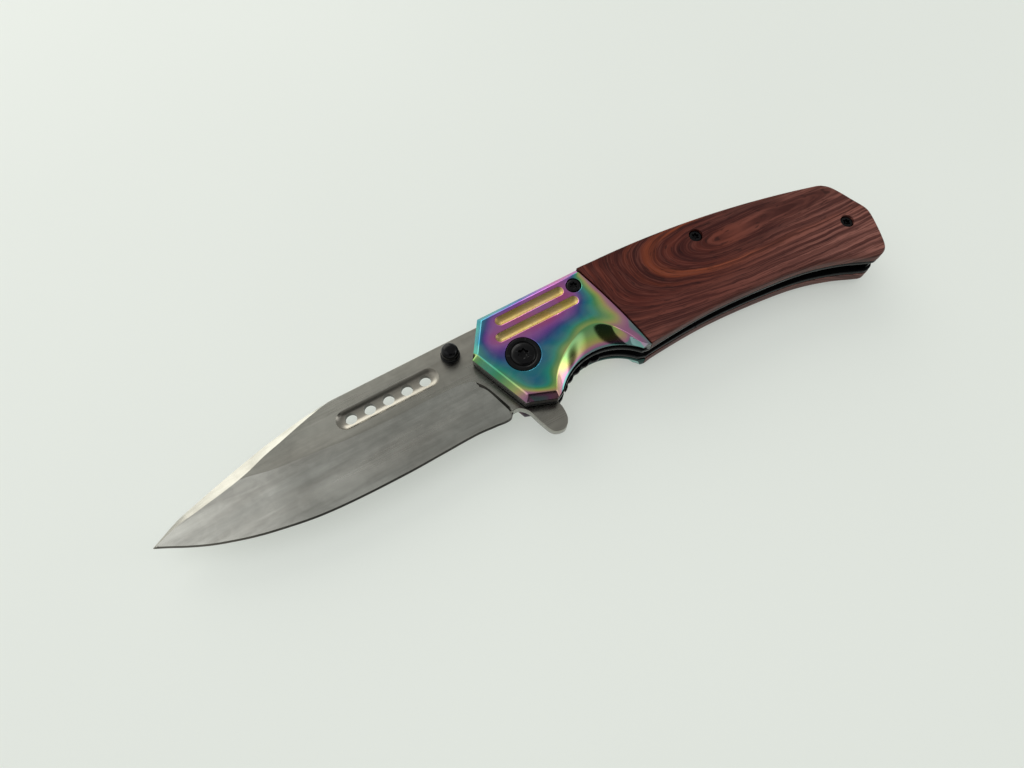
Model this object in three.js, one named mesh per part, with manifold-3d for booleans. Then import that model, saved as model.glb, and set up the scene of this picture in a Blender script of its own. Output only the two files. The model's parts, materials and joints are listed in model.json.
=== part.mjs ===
// A folding pocket knife, drawn open. Millimetres, +Z up.
// The knife lies on its clip side, its front face looks up and its tip points to -X.
// Each piece is drawn about the pivot axis, and the last lines move the whole knife
// so that the middle of its box's lower face is the origin.

import * as THREE from 'three';
import { mergeVertices } from 'three/addons/utils/BufferGeometryUtils.js';
import Module from 'manifold-3d';

const wasm = await Module();
wasm.setup();

// Thicknesses, from the middle of the blade outwards
const bladeThickness = 3.0;
const washerThickness = 0.4;
const washerPlay = 0.05;
const linerThickness = 1.5;
const scaleThickness = 3.5;

// Blade
const bladeReach = 102.5;
const spineHeight = 15.0;
const edgeDrop = 12.0;
const edgeHalfThickness = 0.08;
const shoulderHalfThickness = 0.42;
const microBevelWidth = 0.7;
const swedgeSlope = 0.42;
const swedgeHalfThickness = 0.2;
const faceSliver = 0.05;
const ricassoX = -8.86;
const ricassoShare = 0.0864;
const tangRadius = spineHeight - 4.7;
const flipperReach = 21.3;
const slotLength = 29.3;
const slotWidth = 5.4;
const slotDepth = 0.9;
const slotCentreX = -35.75;
const slotCentreY = 8.2;
const slotHoles = 5;
const slotHolePitch = 5.37;
const slotHoleRadius = 1.55;

// Thumb stud
const studX = -16.0;
const studY = 10.8;
const studRadius = 2.6;
const studHeight = 5.0;
const studShankRadius = 1.3;
const studFootShare = 0.3;

// Pivot and stop pin
const pivotRadius = 2.5;
const pivotHeadRadius = 4.6;
const pivotHeadDepth = 1.4;
const pivotHeadRise = 0.35;
const pivotScrewRadius = 1.5;
const pivotSocketRadius = 1.3;
const pivotSocketDepth = 1.2;
const washerRadius = 6.0;
const stopPinRadius = 1.5;
const stopPinOrbit = tangRadius + 2.2;
const stopPinAngle = 99.5;
const closedAngle = 172.0;
const stopGapAngle = 0.3;
const runningGap = 0.06;
const seatGap = 0.03;
const headGap = 0.1;

// Handle
const tailMargin = 5.1;
const handleTop = spineHeight;
const spineArcRadius = 270.0;
const spineArcLead = 4.0;
const tailDepth = 22.1;
const frontTopX = -5.5;
const noseX = -12.1;
const noseY = 5.3;
const chinX = -5.8;
const chinY = -11.6;
const heelX = 2.0;
const heelY = -14.6;
const jointTopX = 25.1;
const jointBottomX = 31.0;
const jointBow = 0.6;
const jointGap = 0.2;
const choilRadius = 16.5;
const choilX = 16.8;
const choilY = -24.0;
const jointBottomY = -13.8;
const choilFromAngle = 41.0;
const choilToAngle = 137.0;
const frontChamferWidth = 1.7;
const topChamferWidth = 1.2;
const chamferDepth = 1.2;
const scaleRound = 1.2;
const scaleRoundSteps = 3;
const linerInset = 0.25;
const linerChoilProud = 0.15;
const scoopDepth = 2.3;
const scoopHollow = 1.6;

// Bolster grooves
const grooveWidth = 2.7;
const grooveDepth = 0.9;
const upperGroove = { from: -2.0, to: 18.8, y: handleTop - 3.7 };
const lowerGroove = { from: -4.1, to: 20.9, y: handleTop - 8.0 };

// Screws, standoff and spacer
const tailScrewInset = 7.7;
const tailScrewX = bladeReach + tailMargin - tailScrewInset;
const bolsterScrew = { x: 21.9, y: handleTop - 4.1, headRadius: 2.0, sink: 0.05 };
const midScrew = { x: 59.8, y: handleTop - 7.2, headRadius: 1.85, sink: 0.5 };
const tailScrew = { x: tailScrewX, y: -9.1, headRadius: 1.85, sink: 0.5 };
const screwHeadDepth = 1.5;
const screwHeadChamfer = 0.25;
const screwShankRadius = 1.0;
const screwTipGap = 0.4;
const socketRadius = 0.85;
const socketDepth = 1.0;
const standoffRadius = 1.8;
const bossRadius = 2.6;
const spacerInset = 0.7;
const spacerWidth = 3.4;
const spacerStartX = 51.0;
const spacerThroat = 12.0;
const sweepClearance = 0.8;

// Liner lock
const lockRootX = 48.0;
const lockTipX = 6.5;
const lockTipTopY = -2.4;
const lockRootTopY = -7.0;
const lockSlit = 0.5;
const lockGap = 0.25;
const lockLean = 1.7;
const toothCount = 5;
const toothPitchAngle = 10.7;
const firstToothAngle = 127.7;
const toothDepth = 0.7;
const lockProud = 0.75;
const detentOrbit = 12.6;
const detentAngle = -33.0;
const detentBallRadius = 0.8;
const detentBallSink = 0.35;
const detentPocketDepth = 0.5;

// Pocket clip
const clipThickness = 1.1;
const clipLift = 1.5;
const clipLength = 46.0;
const clipWidth = 9.0;
const clipTipWidth = 6.4;
const clipPlateLength = 13.0;
const clipBendRun = 3.5;
const clipMouthRun = 12.0;
const clipTouchRun = 4.0;
const clipCornerRadius = 4.5;
const clipTailMargin = 3.6;
const clipLean = -8.0;
const clipScrewStep = 6.2;
const clipScrewSpread = 2.9;
const clipScrewHeadRadius = 1.6;
const clipScrewHeadDepth = 0.7;
const clipScrewHeadChamfer = 0.35;
const clipSocketRadius = 0.75;
const clipSocketDepth = 0.55;

// Facets
const roundFacets = 28;
const smallFacets = 16;
const arcSteps = 14;

// Levels worked out from the thicknesses
const washerInner = bladeThickness / 2 + washerPlay;
const linerInner = washerInner + washerThickness;
const linerOuter = linerInner + linerThickness;
const scaleOuter = linerOuter + scaleThickness;
const tailX = bladeReach + tailMargin;
const radians = Math.PI / 180;

// Angles worked out so that the blade nearly touches the stop pin at each end of its swing
const pinHalfAngle = Math.asin(stopPinRadius / stopPinOrbit) / radians;
const shoulderAngle = stopPinAngle + pinHalfAngle + stopGapAngle;
const flipperRearAngle = stopPinAngle - pinHalfAngle - stopGapAngle - closedAngle;

// Colours and finishes
const finish = (color, roughness, metalness) =>
  new THREE.MeshStandardMaterial({ color, roughness, metalness });
const satinSteel = finish(0x9a9a94, 0.38, 1.0);
const blackSteel = finish(0x1a1b1d, 0.4, 0.9);
const bronze = finish(0xa9814a, 0.45, 1.0);
const rainbowTitanium = finish(0x5f8fb4, 0.15, 1.0);
const rosewood = finish(0x6e4034, 0.5, 0.0);
const greySteel = finish(0x6f7173, 0.45, 1.0);

// Outline helpers
const point = (x, y) => new THREE.Vector2(x, y);
const polar = (radius, degrees, x = 0, y = 0) =>
  point(x + radius * Math.cos(degrees * radians), y + radius * Math.sin(degrees * radians));

function arc(x, y, radius, fromDegrees, toDegrees, steps = arcSteps) {
  return Array.from({ length: steps + 1 }, (_, i) =>
    polar(radius, fromDegrees + ((toDegrees - fromDegrees) * i) / steps, x, y));
}

// A smooth line through a few points, without its last point
function smooth(points, steps) {
  const knots = points.map((p) => new THREE.Vector3(p.x, p.y, 0));
  const curve = new THREE.CatmullRomCurve3(knots, false, 'centripetal');
  return curve.getPoints(steps).slice(0, -1).map((p) => point(p.x, p.y));
}

// y as a smooth function of x through a few knots, by cubic Hermite pieces
function heightLine(knots) {
  const slope = (i) => {
    const a = knots[Math.max(i - 1, 0)];
    const b = knots[Math.min(i + 1, knots.length - 1)];
    return (b[1] - a[1]) / (b[0] - a[0]);
  };
  return (x) => {
    let i = 0;
    while (i < knots.length - 2 && x > knots[i + 1][0]) i += 1;
    const [x0, y0] = knots[i];
    const [x1, y1] = knots[i + 1];
    const span = x1 - x0;
    const t = Math.min(Math.max((x - x0) / span, 0), 1);
    const t2 = t * t;
    const t3 = t2 * t;
    return (2 * t3 - 3 * t2 + 1) * y0 + (t3 - 2 * t2 + t) * span * slope(i)
      + (3 * t2 - 2 * t3) * y1 + (t3 - t2) * span * slope(i + 1);
  };
}

// An outline moved inwards by a distance, each corner along its mitre
function inset(outline, distance) {
  const turn = THREE.ShapeUtils.isClockWise(outline) ? -1 : 1;
  return outline.map((here, i) => {
    const before = outline[(i + outline.length - 1) % outline.length];
    const after = outline[(i + 1) % outline.length];
    const a = here.clone().sub(before).normalize();
    const b = after.clone().sub(here).normalize();
    const normalA = point(-a.y * turn, a.x * turn);
    const normalB = point(-b.y * turn, b.x * turn);
    const mitre = normalA.clone().add(normalB).normalize();
    const reach = distance / Math.max(mitre.dot(normalA), 0.5);
    return here.clone().addScaledVector(mitre, reach);
  });
}

// Solid helpers
function solid(geometry) {
  const bare = new THREE.BufferGeometry();
  bare.setAttribute('position', geometry.getAttribute('position').clone());
  if (geometry.index) bare.setIndex(geometry.index.clone());
  const merged = mergeVertices(bare, 1e-5);
  const corners = merged.index.array;
  const kept = [];
  for (let i = 0; i < corners.length; i += 3) {
    const [a, b, c] = [corners[i], corners[i + 1], corners[i + 2]];
    if (a !== b && b !== c && c !== a) kept.push(a, b, c);
  }
  return new wasm.Manifold(new wasm.Mesh({
    numProp: 3,
    vertProperties: new Float32Array(merged.getAttribute('position').array),
    triVerts: new Uint32Array(kept),
  }));
}

function mesh(name, body, material) {
  const data = body.getMesh();
  const geometry = new THREE.BufferGeometry();
  geometry.setAttribute('position', new THREE.BufferAttribute(new Float32Array(data.vertProperties), 3));
  geometry.setIndex(new THREE.BufferAttribute(new Uint32Array(data.triVerts), 1));
  geometry.computeVertexNormals();
  const piece = new THREE.Mesh(geometry, material);
  piece.name = name;
  return piece;
}

function plate(outline, low, high) {
  const options = { depth: high - low, bevelEnabled: false };
  const geometry = new THREE.ExtrudeGeometry(new THREE.Shape(outline), options);
  geometry.translate(0, 0, low);
  return solid(geometry);
}

// A plate with a rounded upper edge
function edgedPlate(outline, low, high, radius, steps) {
  const geometry = new THREE.ExtrudeGeometry(new THREE.Shape(outline), {
    depth: high - low, bevelEnabled: true, bevelThickness: radius, bevelSize: radius,
    bevelOffset: -radius, bevelSegments: steps,
  });
  geometry.translate(0, 0, low - radius);
  const below = new THREE.BoxGeometry(4 * bladeReach, 4 * bladeReach, 4 * radius);
  below.translate(0, 0, low - 2 * radius);
  return solid(geometry).subtract(solid(below));
}

// What a flat chamfer takes off the upper edge from a to b, where the piece lies right of that line
function chamferCutter(a, b, top, width, depth) {
  const along = b.clone().sub(a);
  const run = along.length();
  const section = [
    point(-width, top), point(-width, top + depth), point(width, top + depth), point(width, top - 2 * depth),
  ];
  const options = { depth: run + 2 * width, bevelEnabled: false };
  const geometry = new THREE.ExtrudeGeometry(new THREE.Shape(section), options);
  geometry.translate(0, 0, -width);
  const inwards = point(along.y, -along.x).normalize();
  const basis = new THREE.Matrix4().makeBasis(
    new THREE.Vector3(-inwards.x, -inwards.y, 0), new THREE.Vector3(0, 0, 1),
    new THREE.Vector3(along.x / run, along.y / run, 0),
  ).setPosition(a.x, a.y, 0);
  geometry.applyMatrix4(basis);
  return solid(geometry);
}

// A round post along Z, given as [radius, z] steps from its lower end to its upper end
function turned(x, y, steps, facets = smallFacets) {
  const profile = [point(0, steps[0][1]), ...steps.map(([r, z]) => point(r, z)), point(0, steps.at(-1)[1])];
  const geometry = new THREE.LatheGeometry(profile, facets);
  geometry.rotateX(Math.PI / 2);
  geometry.translate(x, y, 0);
  return solid(geometry);
}

const post = (x, y, radius, low, high, facets = smallFacets) =>
  turned(x, y, [[radius, low], [radius, high]], facets);

// The same piece on the other side of the blade's middle plane
const mirrored = (body) => body.mirror([0, 0, 1]);

// Handle edges, each running one way round the knife so that they join end to end
const jointX = (y, shift = 0) => {
  const t = (handleTop - y) / (handleTop - jointBottomY);
  return jointTopX + (jointBottomX - jointTopX) * t + jointBow * 4 * t * (1 - t) + shift;
};
const frontEdge = () => [
  point(heelX, heelY), point(chinX, chinY), point(noseX, noseY), point(frontTopX, handleTop),
];
const topEdge = () => [point(jointTopX - topChamferWidth, handleTop)];
const jointEdge = (shift) => Array.from({ length: 9 }, (_, i) => {
  const y = handleTop - ((handleTop - jointBottomY) * i) / 8;
  return point(jointX(y, shift), y);
});
const choilEdge = (radius = choilRadius) => arc(choilX, choilY, radius, choilFromAngle, choilToAngle, 20);
const spineY = (x) => handleTop - Math.max(x - jointTopX, 0) ** 2 / (2 * spineArcRadius);
const spineFromX = jointTopX + spineArcLead;
const spineToX = tailX - 0.244 * tailDepth;
const spineEdge = () => Array.from({ length: 9 }, (_, i) => {
  const x = spineFromX + ((spineToX - spineFromX) * i) / 8;
  return point(x, spineY(x));
});
const tailPoint = (back, down) => point(tailX - back * tailDepth, -down * tailDepth);
const tailCornerX = tailX - 0.213 * tailDepth;
const tailEdge = () => smooth([
  point(tailCornerX, spineY(tailCornerX) - 0.054 * tailDepth), tailPoint(0.077, 0.186),
  tailPoint(0.005, 0.371), tailPoint(0.005, 0.462), tailPoint(0.136, 0.905), tailPoint(0.195, 0.977),
  tailPoint(0.281, 1), tailPoint(0.389, 0.964),
], 16);
const bellyEdge = () => smooth([
  tailPoint(0.389, 0.964), tailPoint(0.679, 0.842), tailPoint(1.14, 0.71), tailPoint(1.833, 0.62),
  point(1.042 * lockRootX, 0.928 * jointBottomY), point(1.048 * jointBottomX, 0.986 * jointBottomY),
  point(jointBottomX, jointBottomY),
], 14);

const handleOutline = (choil = choilRadius) => [
  ...frontEdge(), ...topEdge(), ...spineEdge(), ...tailEdge(), ...bellyEdge(), ...choilEdge(choil),
];
const bolsterOutline = () => [
  ...frontEdge(), ...topEdge(), ...jointEdge(0).slice(1), ...choilEdge(),
];
const scaleOutline = () => [
  ...jointEdge(jointGap).reverse(), ...spineEdge(), ...tailEdge(),
  ...bellyEdge().filter((p) => p.x > 1.05 * jointBottomX),
];

// Blade lines: shares of a height, at shares of the way from the pivot to the tip
const alongBlade = (share) =>
  ricassoX - ((share - ricassoShare) / (1 - ricassoShare)) * (bladeReach + ricassoX);
const bladeLine = (height, knots) =>
  heightLine(knots.map(([share, high]) => [alongBlade(share), high * height]));
const spineLine = bladeLine(spineHeight, [
  [1, 0.113], [0.926, 0.347], [0.877, 0.453], [0.78, 0.64], [0.682, 0.807], [0.584, 0.927], [0.488, 0.995],
  [0.45, 1], [ricassoShare, 1],
]);
const swedgeLine = bladeLine(spineHeight, [
  [1, 0.1], [0.926, 0.253], [0.877, 0.307], [0.78, 0.427], [0.731, 0.513], [0.682, 0.633], [0.633, 0.727],
  [0.584, 0.827], [0.536, 0.917], [0.488, 0.989], [0.45, 0.995], [ricassoShare, 0.995],
]);
const edgeLine = bladeLine(edgeDrop, [
  [1, 0.133], [0.965, -0.017], [0.926, -0.192], [0.877, -0.383], [0.828, -0.533], [0.78, -0.658],
  [0.731, -0.758], [0.633, -0.908], [0.536, -0.975], [0.39, -1], [0.293, -0.983], [0.195, -0.967],
  [0.144, -1], [0.102, -1.017], [ricassoShare, -0.892],
]);
const grindLine = bladeLine(spineHeight, [
  [1, 0.66], [0.745, 0.447], [0.686, 0.36], [0.633, 0.313], [0.536, 0.253], [0.488, 0.22], [0.39, 0.187],
  [0.195, 0.173], [0.161, 0.147], [0.139, 0.1], [0.124, -0.007], [0.112, -0.16], [0.1, -0.4],
  [ricassoShare, -0.693],
]);
const stationShares = [
  1, 0.985, 0.965, 0.926, 0.877, 0.828, 0.78, 0.745, 0.715, 0.682, 0.633, 0.584, 0.536, 0.488, 0.45, 0.39,
  0.293, 0.24, 0.195, 0.175, 0.161, 0.15, 0.139, 0.131, 0.124, 0.118, 0.112, 0.106, 0.102, 0.096, 0.091,
  ricassoShare,
];

// The front half of the blade's section at x, from the spine down to the edge, as [y, z] pairs
function bladeSection(x) {
  const half = bladeThickness / 2;
  const edge = edgeLine(x);
  const spine = spineLine(x);
  const swedge = Math.min(swedgeLine(x), spine - faceSliver);
  const grind = Math.max(grindLine(x), edge + faceSliver);
  const bevelTop = Math.min(edge + microBevelWidth, (edge + Math.min(grind, swedge)) / 2);
  const bevelZ = (y) => {
    const share = Math.min(Math.max((y - bevelTop) / (grind - bevelTop), 0), 1);
    return shoulderHalfThickness + (half - shoulderHalfThickness) * share;
  };
  const top = Math.min(grind, swedge);
  const ridgeZ = grind < swedge ? half : bevelZ(swedge);
  const spineZ = Math.max(swedgeHalfThickness, half - swedgeSlope * (spine - swedge));
  return [[spine, Math.min(spineZ, ridgeZ)], [swedge, ridgeZ], [top, ridgeZ], [bevelTop, bevelZ(bevelTop)],
    [edge, edgeHalfThickness]];
}

// The ground part of the blade, lofted through its sections from the tip to the ricasso
function groundBlade() {
  const rings = stationShares.map(alongBlade).map((x, i) => {
    if (i === 0) return Array(10).fill([x, spineLine(x), 0]);
    const front = bladeSection(x);
    const ring = [...front, ...front.map(([y, z]) => [y, -z]).reverse()];
    return ring.map(([y, z]) => [x, y, z]);
  });
  const end = rings.at(-1);
  const half = bladeThickness / 2;
  rings[rings.length - 1] = end.map(([x, y, z]) => [x, y, Math.sign(z) * half]);
  const corners = [];
  const triangle = (a, b, c) => corners.push(...a, ...b, ...c);
  for (let i = 0; i < rings.length - 1; i += 1) {
    for (let j = 0; j < rings[i].length; j += 1) {
      const k = (j + 1) % rings[i].length;
      triangle(rings[i][j], rings[i + 1][k], rings[i + 1][j]);
      triangle(rings[i][j], rings[i][k], rings[i + 1][k]);
    }
  }
  const last = rings.at(-1);
  for (let j = 1; j < last.length - 1; j += 1) triangle(last[0], last[j], last[j + 1]);
  const geometry = new THREE.BufferGeometry();
  geometry.setAttribute('position', new THREE.BufferAttribute(new Float32Array(corners), 3));
  return solid(geometry);
}

const faceSlot = (length, width, x, y, steps = 8) => {
  const reach = (length - width) / 2;
  return [...arc(x + reach, y, width / 2, -90, 90, steps), ...arc(x - reach, y, width / 2, 90, 270, steps)];
};

// The tang, its flipper and the step that the lock bar meets
function tangPlate() {
  const half = bladeThickness / 2;
  const lockFaceX = lockTipX - lockGap;
  const notchTopY = lockTipTopY + lockGap;
  const notchTopAngle = Math.asin(notchTopY / tangRadius) / radians;
  const notchBottomAngle = -Math.acos(lockFaceX / tangRadius) / radians;
  const flipper = smooth([
    polar(0.755 * flipperReach, flipperRearAngle),
    polar(0.83 * flipperReach, flipperRearAngle - 1.1),
    polar(0.905 * flipperReach, flipperRearAngle - 2.8),
    polar(0.968 * flipperReach, flipperRearAngle - 5.8),
    polar(flipperReach, flipperRearAngle - 9.0),
    polar(flipperReach, flipperRearAngle - 12.6),
    polar(0.985 * flipperReach, flipperRearAngle - 15.8),
    polar(0.95 * flipperReach, flipperRearAngle - 18.6),
    polar(0.8 * flipperReach, flipperRearAngle - 24.8),
    polar(0.65 * flipperReach, flipperRearAngle - 33.5),
    point(0.763 * ricassoX, -0.933 * edgeDrop), point(0.865 * ricassoX, -0.892 * edgeDrop),
    point(ricassoX, edgeLine(ricassoX)),
  ], 26);
  const outline = [
    point(ricassoX, edgeLine(ricassoX)), point(ricassoX, spineHeight),
    polar(spineHeight / Math.sin(shoulderAngle * radians), shoulderAngle),
    ...arc(0, 0, tangRadius, shoulderAngle, notchTopAngle),
    point(lockFaceX, notchTopY),
    ...arc(0, 0, tangRadius, notchBottomAngle, flipperRearAngle, 4),
    ...flipper,
  ];
  return plate(outline, -half, half);
}

function blade() {
  const half = bladeThickness / 2;
  let body = groundBlade().add(tangPlate());
  const slot = faceSlot(slotLength, slotWidth, slotCentreX, slotCentreY);
  body = body.subtract(plate(slot, half - slotDepth, half + 1));
  body = body.subtract(plate(slot, -half - 1, slotDepth - half));
  for (let i = 0; i < slotHoles; i += 1) {
    const x = slotCentreX + (i - (slotHoles - 1) / 2) * slotHolePitch;
    body = body.subtract(post(x, slotCentreY, slotHoleRadius, -half, half, 20));
  }
  body = body.subtract(post(0, 0, pivotRadius + runningGap, -half - 1, half + 1, roundFacets));
  body = body.subtract(post(studX, studY, studShankRadius + seatGap, -half - 1, half + 1));
  const pocket = polar(detentOrbit, detentAngle - closedAngle);
  return body.subtract(post(pocket.x, pocket.y, detentBallRadius, -half - 1, detentPocketDepth - half));
}

// Thumb stud: a waisted button with a domed top; the front one carries the shank
const studProfile = (base) => [
  [studRadius, base], [studRadius, base + studFootShare * studHeight],
  [0.8 * studRadius, base + 0.38 * studHeight], [0.76 * studRadius, base + 0.48 * studHeight],
  [0.88 * studRadius, base + 0.56 * studHeight],
  [0.88 * studRadius, base + 0.72 * studHeight], [0.72 * studRadius, base + 0.88 * studHeight],
  [0.4 * studRadius, base + 0.98 * studHeight], [0.15 * studRadius, base + studHeight],
];
function thumbStudFront() {
  const half = bladeThickness / 2;
  const shank = post(studX, studY, studShankRadius, -half - studFootShare * studHeight, half);
  return turned(studX, studY, studProfile(half), 24).add(shank);
}
function thumbStudRear() {
  const half = bladeThickness / 2;
  const boreTop = half + studFootShare * studHeight + seatGap;
  const bore = post(studX, studY, studShankRadius + seatGap, half - 1, boreTop);
  return mirrored(turned(studX, studY, studProfile(half), 24).subtract(bore));
}

// A six-sided driver socket that opens upwards at z
const socket = (x, y, radius, z, depth) => post(x, y, radius, z - depth, z + 1, 6);

// The pivot's heads: a flat ring, a groove and a low dome with the socket
const pivotHeadLow = scaleOuter - pivotHeadDepth;
function pivotHead() {
  const top = scaleOuter + pivotHeadRise;
  return turned(0, 0, [
    [pivotHeadRadius, pivotHeadLow], [pivotHeadRadius, scaleOuter - 0.1],
    [0.935 * pivotHeadRadius, scaleOuter + 0.05], [0.783 * pivotHeadRadius, scaleOuter + 0.05],
    [0.717 * pivotHeadRadius, scaleOuter - 0.2],
    [0.63 * pivotHeadRadius, scaleOuter + 0.5 * pivotHeadRise], [0.35 * pivotHeadRadius, top],
  ], roundFacets).subtract(socket(0, 0, pivotSocketRadius, top, pivotSocketDepth));
}
const pivotScrew = () => pivotHead().add(post(0, 0, pivotScrewRadius, -linerOuter, pivotHeadLow));
function pivotBarrel() {
  const sleeve = post(0, 0, pivotRadius, -pivotHeadLow, pivotHeadLow - seatGap, roundFacets);
  const bore = post(0, 0, pivotScrewRadius + seatGap, -linerOuter - screwTipGap, scaleOuter);
  return mirrored(pivotHead()).add(sleeve).subtract(bore);
}

const washer = () => post(0, 0, washerRadius, washerInner, linerInner, roundFacets)
  .subtract(post(0, 0, pivotRadius + runningGap, 0, linerOuter, roundFacets));

const stopPinPlace = polar(stopPinOrbit, stopPinAngle);
const stopPin = () => post(stopPinPlace.x, stopPinPlace.y, stopPinRadius, -linerOuter, linerOuter);

const throughScrews = [bolsterScrew, midScrew, tailScrew];
const screwHole = ({ x, y }) =>
  post(x, y, screwShankRadius + seatGap, -2 * scaleOuter, 2 * scaleOuter, 12);

// The pocket clip lies along the rear scale, through the tail screw.
// u runs towards the tail from that screw, v across the clip.
const clipTailU = tailX - clipTailMargin - tailScrew.x;
const clipFreeU = clipTailU - clipLength;
const clipSpot = (u, v) =>
  point(u, v).rotateAround(point(0, 0), clipLean * radians).add(point(tailScrew.x, tailScrew.y));
const clipScrewSpots = [clipScrewSpread, -clipScrewSpread].map((v) => clipSpot(-clipScrewStep, v));
const clipScrewHoles = (body) => clipScrewSpots.reduce(
  (cut, { x, y }) => cut.subtract(post(x, y, screwShankRadius + seatGap, -2 * scaleOuter, 0, 12)), body);

// Liners carry the pivot, the stop pin and the screws
const linerChoilRadius = choilRadius - linerChoilProud;
const linerOutline = () => inset(handleOutline(linerChoilRadius - linerInset), linerInset);
function liner() {
  let body = plate(linerOutline(), linerInner, linerOuter);
  body = body.subtract(post(0, 0, pivotRadius + runningGap, 0, scaleOuter, roundFacets));
  body = body.subtract(post(stopPinPlace.x, stopPinPlace.y, stopPinRadius + seatGap, 0, scaleOuter));
  throughScrews.forEach((screw) => { body = body.subtract(screwHole(screw)); });
  return body;
}

// The lock bar's lower edge has thumb teeth along the choil
function lockBarOutline() {
  const radius = choilRadius - lockProud;
  const tipAngle = 180 - Math.acos((choilX - lockTipX) / radius) / radians;
  const teeth = [];
  for (let i = 0; i < toothCount; i += 1) {
    const valley = firstToothAngle - (i + 0.5) * toothPitchAngle;
    if (valley + 0.25 * toothPitchAngle < tipAngle) {
      teeth.push(
        polar(radius, valley + 0.27 * toothPitchAngle, choilX, choilY),
        polar(radius + toothDepth, valley + 0.17 * toothPitchAngle, choilX, choilY),
        polar(radius + toothDepth, valley - 0.17 * toothPitchAngle, choilX, choilY),
        polar(radius, valley - 0.27 * toothPitchAngle, choilX, choilY),
      );
    }
  }
  const afterTeeth = firstToothAngle - (toothCount + 0.3) * toothPitchAngle;
  const belly = linerOutline()
    .filter((p) => p.y < 0.87 * jointBottomY && p.x > 0.97 * jointBottomX && p.x < 0.99 * lockRootX)
    .reverse();
  const bellyAtRoot = belly.at(-1).y;
  return [
    point(lockTipX, lockTipTopY), polar(radius, tipAngle, choilX, choilY), ...teeth,
    ...arc(choilX, choilY, linerChoilRadius, afterTeeth, choilFromAngle + 2, 6), ...belly,
    point(lockRootX, bellyAtRoot), point(lockRootX, lockRootTopY),
  ];
}
const lockPivotZ = -(linerInner + linerOuter) / 2;
const leant = (body) => body
  .translate([-lockRootX, 0, -lockPivotZ]).rotate([0, lockLean, 0]).translate([lockRootX, 0, lockPivotZ]);
const detentPlace = polar(detentOrbit, detentAngle);
function lockBar() {
  const bar = plate(lockBarOutline(), -linerOuter, -linerInner);
  const seat = post(detentPlace.x, detentPlace.y, detentBallRadius + seatGap, -scaleOuter, 0);
  return leant(bar.subtract(seat));
}
function detentBall() {
  const geometry = new THREE.SphereGeometry(detentBallRadius, 12, 8);
  geometry.translate(detentPlace.x, detentPlace.y, -linerInner - detentBallSink);
  return leant(solid(geometry));
}
function linerRear() {
  const window = [
    point(lockTipX - lockSlit, choilY), point(lockTipX - lockSlit, lockTipTopY + lockSlit),
    point(lockRootX + lockGap, lockRootTopY + lockSlit), point(lockRootX + lockGap, choilY),
  ];
  return clipScrewHoles(mirrored(liner()).subtract(plate(window, -scaleOuter, 0)));
}

// Spacer between the liners: along the spine, round the tail and down to the belly corner
function backSpacer() {
  const underSpine = Array.from({ length: 7 }, (_, i) => {
    const x = spacerStartX + ((tailScrew.x - spacerThroat - spacerStartX) * i) / 6;
    return point(x, spineY(x) - spacerWidth);
  });
  const sweep = bladeReach + sweepClearance;
  const well = [
    point(-sweep, -sweep), point(-sweep, sweep), point(spacerStartX, sweep), ...underSpine,
    point(tailScrew.x - 1.2 * bossRadius, tailScrew.y + 0.6 * bossRadius),
    point(tailScrew.x - 0.6 * bossRadius, tailScrew.y - bossRadius),
    ...arc(0, 0, sweep, -6.9, -16, 6), point(sweep, -sweep),
  ];
  const shell = plate(inset(handleOutline(), spacerInset), -linerInner, linerInner);
  let body = shell.subtract(plate(well, -scaleOuter, scaleOuter));
  [midScrew, tailScrew].forEach((screw) => {
    const boss = post(screw.x, screw.y, bossRadius, -linerInner, linerInner, 20);
    body = body.add(boss).subtract(screwHole(screw));
  });
  return body;
}
const bolsterStandoff = () =>
  post(bolsterScrew.x, bolsterScrew.y, standoffRadius, -linerInner, linerInner)
    .subtract(screwHole(bolsterScrew));

// Screws: the head sits in a counterbore, or on a plate that lifts it
const screwHeadLow = (screw) => scaleOuter - screw.sink - screwHeadDepth;
function screwFront(screw) {
  const low = screwHeadLow(screw);
  const top = scaleOuter - screw.sink;
  const head = turned(screw.x, screw.y, [
    [screw.headRadius, low], [screw.headRadius, top - screwHeadChamfer],
    [screw.headRadius - screwHeadChamfer, top],
  ], 20);
  const shank = post(screw.x, screw.y, screwShankRadius, screwTipGap / 2, low, 12);
  return head.add(shank).subtract(socket(screw.x, screw.y, socketRadius, top, socketDepth));
}
const counterbore = (screw) =>
  post(screw.x, screw.y, screw.headRadius + headGap, screwHeadLow(screw) - seatGap, 2 * scaleOuter, 20);

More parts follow.
